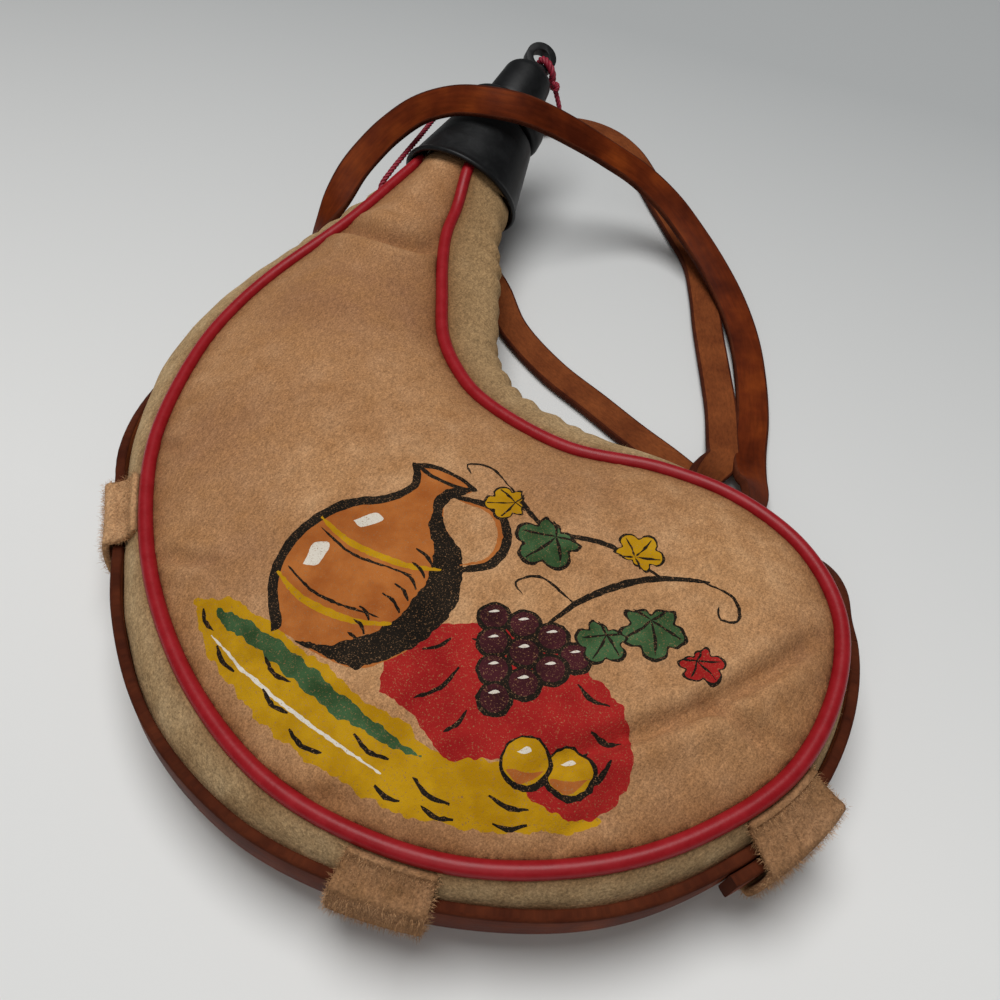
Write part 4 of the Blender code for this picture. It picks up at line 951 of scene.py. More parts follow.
def hatching(ink, rows, width):
    """Short brush strokes, each from one point to another in millimetres, slightly bent."""
    shapes = []
    for x0, y0, x1, y1 in rows:
        bend = ((x0 + x1) / 2 + (y1 - y0) * 0.12, (y0 + y1) / 2 - (x1 - x0) * 0.12)
        shapes.append((ink, ink_stroke([(x0, y0), bend, (x1, y1)], width)))
    return shapes


def still_life():
    """A plain printed still life in the inks of a souvenir: a jug, grapes, a vine, fruit and a red cloth."""
    rows = [
        ("ochre", ink_patch([
            (-36, -45), (-30, -51), (-22, -55.5), (-12, -59.5), (-1, -62.5), (10, -64), (22, -64.6),
            (34, -63.4), (46, -59.6), (55, -55), (62, -50.5), (66, -46), (60, -47), (54, -47.5),
            (47, -46), (39, -48.5), (31, -51), (22, -49), (12, -49), (2, -46.5), (-8, -45), (-18, -43),
            (-28, -42),
        ], 1.1)),
        ("green", ink_patch([
            (-30, -44.5), (-18, -45), (-6, -47), (8, -50), (20, -52), (30, -53), (12, -54.5), (-2, -52),
            (-16, -49), (-26, -47.5),
        ], 1.0)),
        ("white", ink_stroke([(-27, -50.5), (-12, -55), (6, -58), (24, -59.5)], 0.8)),
        ("red", ink_patch([
            (15, -46), (11, -35), (20, -26), (34, -20), (49, -21), (62, -27), (68, -38), (64, -47), (54, -50),
            (45, -46), (34, -51), (24, -47),
        ], 0.9)),
        ("orange", ink_patch([
            (-14, -44), (-22, -34), (-24, -22), (-19, -10), (-10, -3), (-7.5, 3), (-11, 9), (5, 9), (1.5, 3),
            (4, -3), (13, -10), (18, -22), (16, -34), (8, -44),
        ], 0.4)),
        ("black", ink_patch([
            (8, -44.5), (16.5, -34), (18.5, -22), (13.5, -10), (4.5, -3), (2, 3), (5, 9), (1, 8), (-1, 3),
            (1, -4), (7, -12), (10, -22), (8, -33), (0, -42), (-8, -44.5),
        ], 0.8)),
        ("black", ink_patch([
            (-14, -45), (-22.8, -34), (-25, -22), (-20, -9.5), (-11, -2), (-8.5, 3), (-12, 9.4), (-10, 9),
            (-6.5, 3), (-9.5, -4), (-17.6, -11), (-22.4, -22), (-20.5, -33.5), (-12.6, -43.4),
        ], 0.3)),
        ("black", ink_patch([(-12, 9), (-8, 11.4), (0, 11.6), (6, 9.4), (2, 7.6), (-6, 7.2)], 0.3)),
        ("orange", ink_patch([(-9, 9.2), (-6, 10.3), (0, 10.4), (3.6, 9.2), (0, 8.4), (-5, 8.2)], 0.2)),
        ("black", ink_stroke([(2, 5), (12, 6), (19, 0), (20, -8), (13.5, -14)], 3.0)),
        ("orange", ink_stroke([(4, 4.6), (12, 4.9), (17.8, -0.4), (18.6, -7.4), (14, -12)], 1.1)),
        ("ochre", ink_stroke([(-21.5, -15.5), (-10, -18.6), (4, -17.6), (11, -15)], 1.7)),
        ("ochre", ink_stroke([(-22, -32), (-12, -35.6), (2, -35), (9, -32)], 1.7)),
        ("black", ink_stroke([(-20, -17.8), (-9, -20.9), (6, -19.4)], 0.7)),
        ("black", ink_stroke([(-20.6, -29.8), (-10, -33.2), (6, -32.0)], 0.7)),
        ("white", ink_patch([(-17.5, -28), (-18.5, -22), (-15.5, -21), (-14.5, -27)], 0.4)),
        ("white", ink_patch([(-14, -13), (-10.5, -8.5), (-8, -9.5), (-11.5, -13.8)], 0.3)),
    ]
    rows += hatching("black", [
        (6 - k * 0.9, -40 + 3.2 * k, 1.5 - k * 0.6, -38 + 3.2 * k) for k in range(3)
    ] + [(9, -29 + 3.4 * k, 3 + k % 2, -26.5 + 3.4 * k) for k in range(5)], 0.8)
    rows += hatching("black", [
        (22, -44, 27, -34), (31, -47, 33, -41), (52, -45, 58, -36), (60, -44, 63, -36), (57, -33, 63, -31),
        (18, -34, 22, -29), (26, -27, 31, -23.5), (50, -25, 58, -26.5),
    ], 1.0)
    for x, y in ((57, -42), (48.5, -44.5)):
        rows += [
            ("black", ink_disc(x, y, 5.3, 0.4)),
            ("ochre", ink_disc(x - 0.3, y + 0.3, 4.5, 0.3)),
            ("orange", ink_patch([(x + 4, y + 1), (x + 1, y - 3.9), (x - 3, y - 3), (x + 1.6, y - 1)], 0.3)),
            ("white", ink_patch([(x - 2.6, y + 1), (x - 1.2, y + 3), (x, y + 2.6), (x - 1.2, y + 1.2)], 0.2)),
        ]
    bunch = [(27.5, -20), (34, -18.5), (40.6, -18.2), (47, -20), (30.5, -25.6), (37.2, -24.4), (43.8, -25),
             (33.6, -31), (40.4, -30.6), (36.8, -36.4)]
    for x, y in bunch:
        shine = [(x - 1.8, y + 0.5), (x - 0.8, y + 1.8), (x + 0.2, y + 1.9), (x - 0.8, y + 0.9)]
        rows += [
            ("black", ink_disc(x, y, 3.9, 0.35)),
            ("plum", ink_disc(x - 0.2, y + 0.2, 3.0, 0.25)),
            ("white", ink_patch(shine, 0.15)),
        ]
    rows += [
        ("black", ink_stroke([(64, 13), (52, 6), (42, -6), (38, -16)], 1.8)),
        ("black", ink_stroke([(54, 8), (40, 10), (26, 7), (12, 15)], 1.5)),
        ("black", ink_stroke([(62, 12), (70, 12), (73, 7), (69.5, 5), (68, 8)], 0.8)),
        ("black", ink_stroke([(12, 15), (4, 19), (-1, 16.5), (1.5, 14)], 0.8)),
        ("black", ink_stroke([(40, -8), (31, -6), (27, -10), (30, -12)], 0.7)),
    ]
    for leaf in (
        (28, 3.5, 8.6, 250, "green"), (58, -5.5, 8.0, 300, "green"), (14, 9.8, 6.2, 210, "ochre"),
        (47, 12, 6.4, 80, "ochre"), (70.5, -8, 5.6, 330, "red"), (50, -13.5, 6.2, 270, "green"),
    ):
        rows += vine_leaf(*leaf)
    rows += hatching("black", [
        (-33, -46, -27, -49.5), (-24, -52, -17, -55), (-12, -50, -3, -52.5), (2, -60.5, 11, -61.5),
        (15, -55.5, 24, -56.5), (30, -57, 39, -58), (34, -60.8, 41, -60), (45, -53, 53, -51.5),
        (48, -57, 54, -54),
        (-8, -56, 0, -58), (24, -62, 30, -62),
    ], 1.0)
    keys = list(INKS)
    return [(keys.index(ink), shape) for ink, shape in rows]


def make_panels():
    """The two big suede panels."""
    front = panel_surface(
        "visual_front_panel", SEAM[:, :3], FRONT_OUT, True, [FINISH["panel"], *INK_FINISHES], still_life())
    back = panel_surface("visual_back_panel", SEAM[:, 3:6], BACK_OUT, False, [FINISH["back"]])
    return front, back


def strip_piece(name, grid, finish):
    """A grid of points as a surface."""
    bm = bmesh.new()
    rows = [[bm.verts.new(p) for p in row] for row in grid]
    for a, b in zip(rows[:-1], rows[1:]):
        for j in range(len(a) - 1):
            bm.faces.new((a[j], b[j], b[j + 1], a[j + 1]))
    return finish_mesh(name, bm, finish)


def gusset_relief(distance, shares):
    """How far the gusset's face stands out at shares of its width: plump, wrinkled where it bends."""
    swell = np.sin(math.pi * shares)
    rest = SEAM_LENGTH - distance
    bent = sum(math.exp(-((d - END_BEND_PLACE) / END_BEND_REACH) ** 2) for d in (distance, rest))
    bent += HOLLOW_BEND * math.exp(-((distance / SEAM_LENGTH - HOLLOW_BEND_SHARE) / HOLLOW_BEND_REACH) ** 2)
    waver = 2.5 * noise.noise((distance * 55, 0.0, 3.0))
    ridge = math.sin(2 * math.pi * distance / WRINKLE_SPACING + waver)
    slack = np.array([noise.noise((distance * 95, q * 2.5, 9.0)) for q in shares])
    if distance > SEAM_LENGTH * NECK_FOLDS_FROM_SHARE:
        slack += NECK_FOLDS * np.array([noise.noise((distance * 26, q * 5.0, 4.0)) for q in shares])
    lean = np.clip(1.2 - shares, 0.4, 1.0)
    folds = WRINKLE_HEIGHT * bent * ridge * lean + SLACK / 2 * slack
    return LEATHER_THICKNESS / 2 * swell ** 0.35 + swell * folds


def gusset_rows():
    """The gusset's fine sections from the neck's left to its right."""
    shares = np.linspace(0.0, 1.0, GUSSET_ACROSS + 1)
    rows = []
    for distance in np.linspace(0.0, SEAM_LENGTH, int(SEAM_LENGTH / GUSSET_CELL)):
        front, back, bulge, out = seam_at(distance / SEAM_LENGTH)
        if distance < NECK_INSERT:
            rows.append(round_neck(back, front, GUSSET_ACROSS, TUCK)[::-1])
        elif distance > SEAM_LENGTH - NECK_INSERT:
            rows.append(round_neck(front, back, GUSSET_ACROSS, TUCK))
        else:
            row = trimmed(gusset_profile(front, back, bulge, out), TUCK, TUCK, GUSSET_ACROSS)
            face = unit(np.cross(np.cross(front - back, out), np.gradient(row, axis=0)))
            face *= np.sign(face @ out)[:, None]
            rows.append(row + face * gusset_relief(distance, shares)[:, None])
    return rows


def make_gusset():
    """The undyed gusset between the two seams, darker beside them with grime and painted shade, and with
    painted shade towards its right neck.
    """
    rows = gusset_rows()
    made = strip_piece("visual_gusset", rows, FINISH["gusset"])
    across = np.arange(GUSSET_ACROSS + 1)
    edge = np.minimum(across, across[::-1]) * GUSSET_POINT_SPACING
    # The bands beside both seams: grime, and painted shade from the piping
    mark_points(made, "seam", np.tile(np.exp(-edge / GUSSET_GRIME_AND_SHADE_REACH), len(rows)))
    # Painted shade towards the right neck, where the gusset turns from the light
    before_neck = NECK_FOLDS_FROM_SHARE - np.linspace(0.0, 1.0, len(rows))
    stain_and_shade_share = NECK_SHADE / (1 + np.exp(before_neck / NECK_SHADE_FADE_SHARE))
    mark_points(made, "stain", np.repeat(stain_and_shade_share, GUSSET_ACROSS + 1))
    return made, np.array(rows)


def carried_frames(points):
    """Two directions square to a line at each of its close points, carried along without a twist."""
    tangents = unit(np.gradient(points, axis=0))
    normal = np.cross(tangents[0], (0.3, 0.1, 1.0))
    frames = []
    for tangent in tangents:
        normal = unit(normal - tangent * (normal @ tangent))
        frames.append((normal, np.cross(tangent, normal)))
    return frames


def add_tube(bm, points, radius, sides):
    """Add a round closed tube through close points to a bmesh."""
    points = np.array(points)
    angles = np.linspace(0.0, 2 * math.pi, sides, endpoint=False)
    rings = [
        [bm.verts.new(p + radius * (normal * math.cos(a) + other * math.sin(a))) for a in angles]
        for p, (normal, other) in zip(points, carried_frames(points))
    ]
    for a, b in zip(rings[:-1], rings[1:]):
        for k in range(sides):
            bm.faces.new((a[k - 1], a[k], b[k], b[k - 1]))
    bm.faces.new(rings[0][::-1])
    bm.faces.new(rings[-1])


def swept_tube(name, lines, radius, sides, finish):
    """Round tubes through close points, as one piece."""
    bm = bmesh.new()
    for points in lines:
        add_tube(bm, points, radius, sides)
    bmesh.ops.recalc_face_normals(bm, faces=bm.faces[:])
    return finish_mesh(name, bm, finish)


def make_piping():
    """The red piping in both seams, which ends just inside the collar."""
    inset = NECK_INSERT - PIPING_SHORT
    for side, seam in (("front", SEAM[:, :3]), ("back", SEAM[:, 3:6])):
        line = sample(seam, np.linspace(inset, lengths_along(seam)[-1] - inset, PIPING_STEPS))
        made = swept_tube(f"visual_{side}_piping", [line], PIPING_RADIUS, TUBE_SIDES, FINISH["vinyl"])
        ride_for(made, "bag", "red_vinyl", f"{side}_piping")


def held_frame(share, layer=0):
    """The strap's centre, its width direction down the gusset and its grain side's direction."""
    front, back, bulge, out = seam_at(share)
    section = gusset_profile(front, back, bulge, out)
    level = np.interp(share, *zip(*STRAP_LEVEL_SHARES)) * (len(section) - 1)
    k = int(level)
    centre = section[k] + (section[k + 1] - section[k]) * (level - k)
    down = unit(section[k + 2] - section[k - 1])
    normal = unit(out - down * (out @ down))
    standoff = LEATHER_THICKNESS / 2 + 3 * GAP + STRAP_THICKNESS / 2 + layer * (STRAP_THICKNESS + GAP)
    return centre + normal * standoff, down, normal


def rolled_normals(centres, rolls):
    """Grain normals from a roll angle: 0 faces left of the travel, 90 faces up, 180 faces right."""
    tangents = unit(np.gradient(centres, axis=0))
    left = unit(np.cross((0.0, 0.0, 1.0), tangents))
    up = unit(np.cross(tangents, left))
    turn = np.radians(rolls)[:, None]
    return left * np.cos(turn) + up * np.sin(turn)


def strap_section():
    """The strap's cut section: four rounded corners as offsets across it and towards its grain side."""
    corner = STRAP_THICKNESS * STRAP_CORNER_SHARE
    loop = []
    for sign_x, sign_y, start in ((1, 1, 0), (-1, 1, 90), (-1, -1, 180), (1, -1, 270)):
        for k in range(STRAP_CORNER_STEPS + 1):
            angle = math.radians(start + 90 * k / STRAP_CORNER_STEPS)
            loop.append((
                sign_x * (STRAP_WIDTH / 2 - corner) + corner * math.cos(angle),
                sign_y * (STRAP_THICKNESS / 2 - corner) + corner * math.sin(angle),
            ))
    return loop


def strap_band(name, centres, normals):
    """A leather strap swept along its centres: grain on the normals' side, flesh behind, cut edges."""
    tangents = unit(np.gradient(centres, axis=0))
    across = unit(np.cross(normals, tangents))
    faces = unit(np.cross(tangents, across))
    section = strap_section()
    count = len(section)
    along = lengths_along(centres)
    bm = bmesh.new()
    layer = bm.loops.layers.uv.new("strip")
    rings = [
        [bm.verts.new(centre + a * x + n * y) for x, y in section]
        for centre, a, n in zip(centres, across, faces)
    ]
    for i, (a, b) in enumerate(zip(rings[:-1], rings[1:])):
        for j in range(count):
            k = (j + 1) % count
            face = bm.faces.new((a[j], a[k], b[k], b[j]))
            side, step = divmod(j, STRAP_CORNER_STEPS + 1)
            flat = step == STRAP_CORNER_STEPS
            face.material_index = side if flat and side in (0, 2) else 1
            for loop, (u, v) in zip(face.loops, ((i, j), (i, j + 1), (i + 1, j + 1), (i + 1, j))):
                loop[layer].uv = (along[u], section[v % count][0] + (STRAP_WIDTH * 2 if side > 1 else 0.0))
    for ring in (rings[0][::-1], rings[-1]):
        bm.faces.new(ring).material_index = 1
    bmesh.ops.recalc_face_normals(bm, faces=bm.faces[:])
    made = finish_mesh(name, bm, *(FINISH[key] for key in ("grain", "edge", "flesh")))
    made.data.set_sharp_from_angle(angle=math.radians(STRAP_SHARP_DEGREES))
    return made


def held_line(start_share, end_share, layer=0):
    """Centres and grain normals of the strap where it stands on edge against the gusset."""
    count = int((end_share - start_share) * SEAM_LENGTH / STRAP_CELL) + 1
    frames = [held_frame(share, layer) for share in np.linspace(start_share, end_share, count)]
    return np.array([f[0] for f in frames]), np.array([f[2] for f in frames])


def make_strap():
    """The carrying strap in its three pieces: held, lapped and free."""
    centres, normals = held_line(STRAP_START_SHARE, STRAP_END_SHARE)
    held = strap_band("visual_strap_held", centres, normals)
    lap_end = KEEPER_SHARES["keeper_right"] + KEEPER_WIDTH / 4 / SEAM_LENGTH
    lap = strap_band("visual_strap_lap", *held_line(lap_end - LAP_LENGTH / SEAM_LENGTH, lap_end, 1))
    ends = []
    for share, sign in ((STRAP_START_SHARE, -1), (STRAP_END_SHARE, 1)):
        for beyond in (GAP / 10, STRAP_WIDTH / 2):
            centre, down, normal = held_frame(share + sign * beyond / SEAM_LENGTH)
            ends.append((*centre, math.degrees(math.asin(normal[2]))))
    route = [*ends[:2], *FREE_STRAP_ROUTE, *ends[:1:-1]]
    dense = smooth_curve(route)
    total = lengths_along(dense)[-1]
    line = sample(dense, np.linspace(0.0, total, int(total / STRAP_CELL) + 1))
    free = strap_band("visual_strap_free", line[:, :3], rolled_normals(line[:, :3], line[:, 3]))
    return held, lap, free, line[:, :3], total


def keeper_section(share, layers):
    """A keeper's section: from beside the front piping, out over the strap, to beside the back piping."""
    front, back, bulge, out = seam_at(share)
    seat = LEATHER_THICKNESS / 2 + 2 * GAP + KEEPER_THICKNESS / 2
    clear = PIPING_RADIUS * 0.8
    base = trimmed(gusset_profile(front, back, bulge, out, seat), clear, clear, 30)
    centre, down, normal = held_frame(share, layers - 1)
    beside = STRAP_WIDTH / 2 + KEEPER_THICKNESS / 2 + 4 * GAP
    outer = STRAP_THICKNESS / 2 + 2 * GAP + KEEPER_THICKNESS / 2
    slides = [(-a, b, c) for a, b, c in KEEPER_ARCH] + [(a, b, c) for a, b, c in KEEPER_ARCH[-2::-1]]
    over = [centre + down * beside * a + normal * (outer * b + KEEPER_SPRING * c) for a, b, c in slides]
    clear = beside + KEEPER_THICKNESS
    head = [p for p in base[1:] if (p - centre) @ down < -clear]
    tail = [p for p in base[:-1] if (p - centre) @ down > clear]
    return trimmed(smooth_curve([base[0], *head, *over, *tail, base[-1]], 8), 0.0, 0.0, KEEPER_ALONG)


def make_keepers():
    """The three suede loops that hold the strap, with raw fibres on their cut edges and their face."""
    half = KEEPER_WIDTH / 2 / SEAM_LENGTH
    pieces = []
    for name, share in KEEPER_SHARES.items():
        layers = 2 if name == "keeper_right" else 1
        places = np.linspace(share - half, share + half, KEEPER_ACROSS)
        rows = np.array([keeper_section(k, layers) for k in places])
        made = strip_piece("visual_" + name, rows, FINISH.get(name, FINISH["keeper"]))
        thicken(made, KEEPER_THICKNESS, 0.0)
        pieces.append(made)
        cut = np.concatenate([rows[0], rows[-1]])
        beyond = unit(np.concatenate([rows[0] - rows[1], rows[-1] - rows[-2]]))
        within = np.mean(rows, axis=(0, 1)) - seam_at(share)[3] * KEEPER_INSIDE
        face = np.cross(np.gradient(rows, axis=0), np.gradient(rows, axis=1))
        face *= np.sign(np.sum(face * (rows - within), axis=2))[:, :, None]
        lean = unit(face.reshape(-1, 3))
        roots = np.concatenate([cut, cut, rows.reshape(-1, 3) + lean * KEEPER_THICKNESS / 2])
        aims = np.concatenate([beyond, beyond, lean])
        fringe = loose_fibres("visual_fibres_" + name, roots, aims, 3, FINISH["keeper_left"])
        ride_for(fringe, "bag", "natural_suede")
    return pieces


def make_gusset_fibres(rows):
    """The fuzz of the undyed gusset."""
    pick = random.Random(11)
    spots = [
        (pick.randrange(8, len(rows) - 8), pick.randrange(1, GUSSET_ACROSS // 2)) for _ in range(GUSSET_TUFTS)
    ]
    roots = np.array([rows[i][j] for i, j in spots])
    faces = np.array([np.cross(rows[i + 1][j] - rows[i][j], rows[i][j + 1] - rows[i][j]) for i, j in spots])
    outwards = roots - rows[:, GUSSET_ACROSS // 2].mean(axis=0)
    faces = unit(faces) * np.sign(np.sum(faces * outwards, axis=1))[:, None]
    fuzz = loose_fibres("visual_fibres_gusset", roots, faces, 2, FINISH["gusset"])
    ride_for(fuzz, "bag", "natural_suede")


def loose_fibres(name, roots, directions, per_root, finish):
    """Short curved fibres that stand off cut suede, as thin ribbons."""
    pick = random.Random(7)
    still = (0.0, 0.0, 0.0)
    bm = bmesh.new()
    for root, direction in zip(roots, directions):
        for _ in range(per_root):
            start, aim, curl = (
                Vector(base) + Vector([pick.gauss(0.0, spread) for _ in range(3)])
                for base, spread in ((root, FIBRE_SCATTER), (direction, FIBRE_LEAN), (still, FIBRE_CURL))
            )
            side = aim.cross(curl).normalized() * FIBRE_WIDTH / 2
            reach = FIBRE_LENGTH * pick.uniform(*FIBRE_SHARES)
            middle = start + aim * reach * 0.55
            tip = start + aim * reach + curl * reach * 0.5
            low, high = (
                (bm.verts.new(p - side * w), bm.verts.new(p + side * w))
                for p, w in ((start, 1), (middle, 0.8))
            )
            bm.faces.new((low[0], low[1], high[1], high[0]))
            bm.faces.new((high[0], high[1], bm.verts.new(tip)))
    return finish_mesh(name, bm, finish)


def apply_place():
    """Set the active piece's place, turn and scale into its mesh."""
    bpy.ops.object.transform_apply(location=True, rotation=True, scale=True)


def turned(name, profile, finish, smooth_degrees=MOULDED_SMOOTH_DEGREES):
    """Turn a profile of (radius, height) about the mouthpiece's axis by extruding a circle."""
    bpy.ops.object.select_all(action="DESELECT")
    radius, height = profile[0]
    bpy.ops.mesh.primitive_circle_add(vertices=TURN_STEPS, radius=radius, location=(0.0, 0.0, 0.0))
    made = bpy.context.object
    made.name = name
    made.data.name = name
    bpy.ops.object.mode_set(mode="EDIT")
    bpy.ops.mesh.select_all(action="SELECT")
    bpy.ops.transform.translate(value=(0.0, 0.0, height))
    for (r0, z0), (r1, z1) in zip(profile[:-1], profile[1:]):
        bpy.ops.mesh.extrude_region_move(TRANSFORM_OT_translate={"value": (0.0, 0.0, z1 - z0)})
        bpy.ops.transform.resize(value=(r1 / r0, r1 / r0, 1.0), center_override=(0.0, 0.0, z1))
    bpy.ops.mesh.select_all(action="SELECT")
    bpy.ops.mesh.remove_doubles(threshold=0.00002)
    bpy.ops.mesh.normals_make_consistent(inside=False)
    bpy.ops.object.mode_set(mode="OBJECT")
    made.matrix_world = MOUTH
    apply_place()
    bpy.ops.object.shade_smooth_by_angle(angle=math.radians(smooth_degrees))
    made.data.materials.append(finish)
    return made


def arc(centre, radius, start_degrees, end_degrees, steps=6):
    """Points on an arc in the (radius, height) plane of a turned profile."""
    angles = np.radians(np.linspace(start_degrees, end_degrees, steps + 1))
    return [(centre[0] + radius * math.cos(a), centre[1] + radius * math.sin(a)) for a in angles]


def ring_profile(inner, width, low, thickness):
    """A washer's section with its edges eased."""
    ease = thickness * 0.3
    outer, high = inner + width, low + thickness
    return [
        (inner, low), (inner, high), (outer - ease, high), (outer, high - ease), (outer, low + ease),
        (outer - ease, low), (inner, low),
    ]


def thread_ridge(name, radius, low, high, pitch):
    """A low rounded thread ridge round the mouthpiece's axis, on the spout."""
    line = []
    for turn in np.linspace(low / pitch, high / pitch, int((high - low) / pitch * THREAD_STEPS_PER_TURN)):
        a = 2 * math.pi * turn
        line.append(RIM + AXIS * (turn * pitch) + radius * (SIDE * math.cos(a) - AXIS_UP * math.sin(a)))
    ridge = swept_tube(name, [line], RIDGE_RADIUS, RIDGE_SIDES, FINISH["phenolic"])
    ride_for(ridge, "spout", "black_phenolic")


def make_collar():
    """The moulded collar: a cone with a thick rolled rim, and its stem inside."""
    slope = (COLLAR_RIM_RADIUS - COLLAR_TOP_RADIUS) / COLLAR_LENGTH
    web = COLLAR_LENGTH - PLUG_LENGTH - COLLAR_WEB
    lip = COLLAR_WALL * 0.75
    cone = [(COLLAR_RIM_RADIUS - slope * z, z) for z in np.linspace(COLLAR_LENGTH * 0.92, 3.2 * lip, 5)]
    return turned("visual_collar", [
        (STEM_BORE_RADIUS, COLLAR_LENGTH),
        *arc((COLLAR_TOP_RADIUS - COLLAR_LIP, COLLAR_LENGTH - COLLAR_LIP), COLLAR_LIP, 90, 15),
        *cone,
        (COLLAR_RIM_RADIUS - slope * 2 * lip + GAP / 2, 2 * lip),
        *arc((COLLAR_RIM_RADIUS - lip + GAP, lip), lip, 30, -100),
        (COLLAR_RIM_RADIUS - 2 * lip, lip),
        (COLLAR_RIM_RADIUS - COLLAR_WALL - slope * web, web),
        (STEM_RADIUS, web),
        (STEM_RADIUS, -STEM_REACH),
        (STEM_BORE_RADIUS, -STEM_REACH),
        (STEM_BORE_RADIUS, COLLAR_LENGTH),
    ], FINISH["phenolic"])


def make_spout(low):
    """The screw spout: plug, rounded ring, threaded neck and nozzle with its fine jet."""
    high = low + RING_LENGTH
    tip = high + NOZZLE_LENGTH
    inner = RING_RADIUS - RING_ROUNDING
    plug = STEM_BORE_RADIUS - GAP
    foot = COLLAR_LENGTH - PLUG_LENGTH + GAP
    return turned("visual_spout", [
        (JET_RADIUS, tip),
        (NOZZLE_TIP_RADIUS - GAP, tip),
        (NOZZLE_TIP_RADIUS, tip - GAP),
        (NOZZLE_SHANK_RADIUS, high + NOZZLE_NECK_LENGTH),
        (NOZZLE_NECK_RADIUS - GAP, high + NOZZLE_NECK_LENGTH),
        (NOZZLE_NECK_RADIUS, high + NOZZLE_NECK_LENGTH - GAP),
        (NOZZLE_NECK_RADIUS, high),
        *arc((inner, high - RING_ROUNDING), RING_ROUNDING, 90, 0, 8),
        *arc((inner, low + RING_ROUNDING), RING_ROUNDING, 0, -80, 8),
        (inner, low),
        (plug, low),
        (plug, foot),
        (PLUG_BORE_RADIUS, foot),
        (PLUG_BORE_RADIUS, low),
        (NOZZLE_TIP_RADIUS, high),
        (JET_RADIUS, tip - 2 * NOZZLE_TIP_RADIUS),
        (JET_RADIUS, tip),
    ], FINISH["phenolic"])


def make_cap(base, high, tip):
    """The stopper's cap: a domed screw cap, hollow over the nozzle."""
    top = base + STOPPER_LENGTH
    shoulder = STOPPER_RADIUS - STOPPER_CROWN_RADIUS
    hollow = NOZZLE_NECK_RADIUS + THREAD_CLEARANCE
    roof = high + NOZZLE_NECK_LENGTH + THREAD_CLEARANCE
    ease = COLLAR_LIP / 2
    return turned("visual_stopper", [
        (GAP, top),
        *arc((shoulder - STOPPER_TAPER, top - STOPPER_CROWN_RADIUS), STOPPER_CROWN_RADIUS, 90, 10, 10),
        (STOPPER_RADIUS, base + STOPPER_CROWN_RADIUS / 2),
        *arc((STOPPER_RADIUS - ease, base + ease), ease, 0, -90, 3),
        (hollow, base),
        (hollow, roof),
        (NOZZLE_SHANK_RADIUS + THREAD_CLEARANCE, roof),
        (NOZZLE_TIP_RADIUS + THREAD_CLEARANCE, tip + GAP),
        (GAP, tip + GAP),
    ], FINISH["phenolic"])


def make_lug(top):
    """The flat lug on the stopper: a thick disc on a waisted root, its eye drilled and edges eased."""
    bpy.ops.object.select_all(action="DESELECT")
    bpy.ops.mesh.primitive_cylinder_add(vertices=DISC_STEPS, radius=LUG_RADIUS, depth=LUG_THICKNESS)
    disc = bpy.context.object
    disc.name = "visual_stopper_lug"
    disc.rotation_euler = (math.pi / 2, 0.0, 0.0)
    apply_place()
    root = LUG_STANDOFF + STOPPER_CROWN_RADIUS / 2
    bpy.ops.mesh.primitive_cube_add(size=1.0, location=(0.0, 0.0, -root / 2))
    stem = bpy.context.object
    stem.scale = (2 * LUG_RADIUS * LUG_ROOT_SHARE, LUG_THICKNESS * 0.98, root)
    apply_place()
    bpy.ops.mesh.primitive_cylinder_add(vertices=EYE_STEPS, radius=EYE_RADIUS, depth=2 * LUG_THICKNESS)
    drill = bpy.context.object
    drill.rotation_euler = (math.pi / 2, 0.0, 0.0)
    apply_place()
    for tool, operation in ((stem, "UNION"), (drill, "DIFFERENCE")):
        cut = disc.modifiers.new(operation, "BOOLEAN")
        cut.operation = operation
        cut.object = tool
    ease = disc.modifiers.new("Eased edges", "BEVEL")
    ease.width = LUG_EASE
    ease.segments = 3
    ease.limit_method = "ANGLE"
    ease.angle_limit = math.radians(40)
    apply_modifiers(disc)
    for tool in (stem, drill):
        bpy.data.objects.remove(tool)
    turn = Matrix.Rotation(math.radians(EYE_TURN_DEGREES), 4, "Z")
    disc.matrix_world = MOUTH @ Matrix.Translation((0.0, 0.0, top + LUG_STANDOFF)) @ turn
    apply_place()
    bpy.ops.object.shade_smooth_by_angle(angle=math.radians(35))
    disc.data.materials.append(FINISH["phenolic"])
    return disc


def make_mouthpiece():
    """The collar, the spout and the stopper with their washers, threads and lug. Returns the cap's foot."""
    seat = COLLAR_LENGTH + GAP
    low = seat + SEAL_THICKNESS + GAP
    high = low + RING_LENGTH
    tip = high + NOZZLE_LENGTH
    seal_low = high + GAP
    base = seal_low + STOPPER_SEAL_THICKNESS + GAP
    foot = COLLAR_LENGTH - PLUG_LENGTH + 3 * GAP
    thread_top = high + NOZZLE_NECK_LENGTH - 2 * GAP
    ride_for(make_collar(), "bag", "black_phenolic", "collar")
    ride_for(make_spout(low), "spout", "black_phenolic", "spout")
    thread_ridge("visual_spout_thread", STEM_BORE_RADIUS - GAP, foot, low - 3 * GAP, SPOUT_THREAD_PITCH)
    thread_ridge("visual_nozzle_thread", NOZZLE_NECK_RADIUS, base, thread_top, STOPPER_THREAD_PITCH)
    ride_for(make_cap(base, high, tip), "stopper", "black_phenolic", "stopper")
    ride_for(make_lug(base + STOPPER_LENGTH), "stopper", "black_phenolic")
    for node, sizes in (
        ("spout_seal", (STEM_BORE_RADIUS, SEAL_WIDTH, seat, SEAL_THICKNESS)),
        ("stopper_seal", (NOZZLE_NECK_RADIUS + GAP, STOPPER_SEAL_WIDTH, seal_low, STOPPER_SEAL_THICKNESS)),
    ):
        washer = turned("visual_" + node, ring_profile(*sizes), FINISH["rubber"], RUBBER_SMOOTH_DEGREES)
        ride_for(washer, node, "black_rubber", node)
    return base


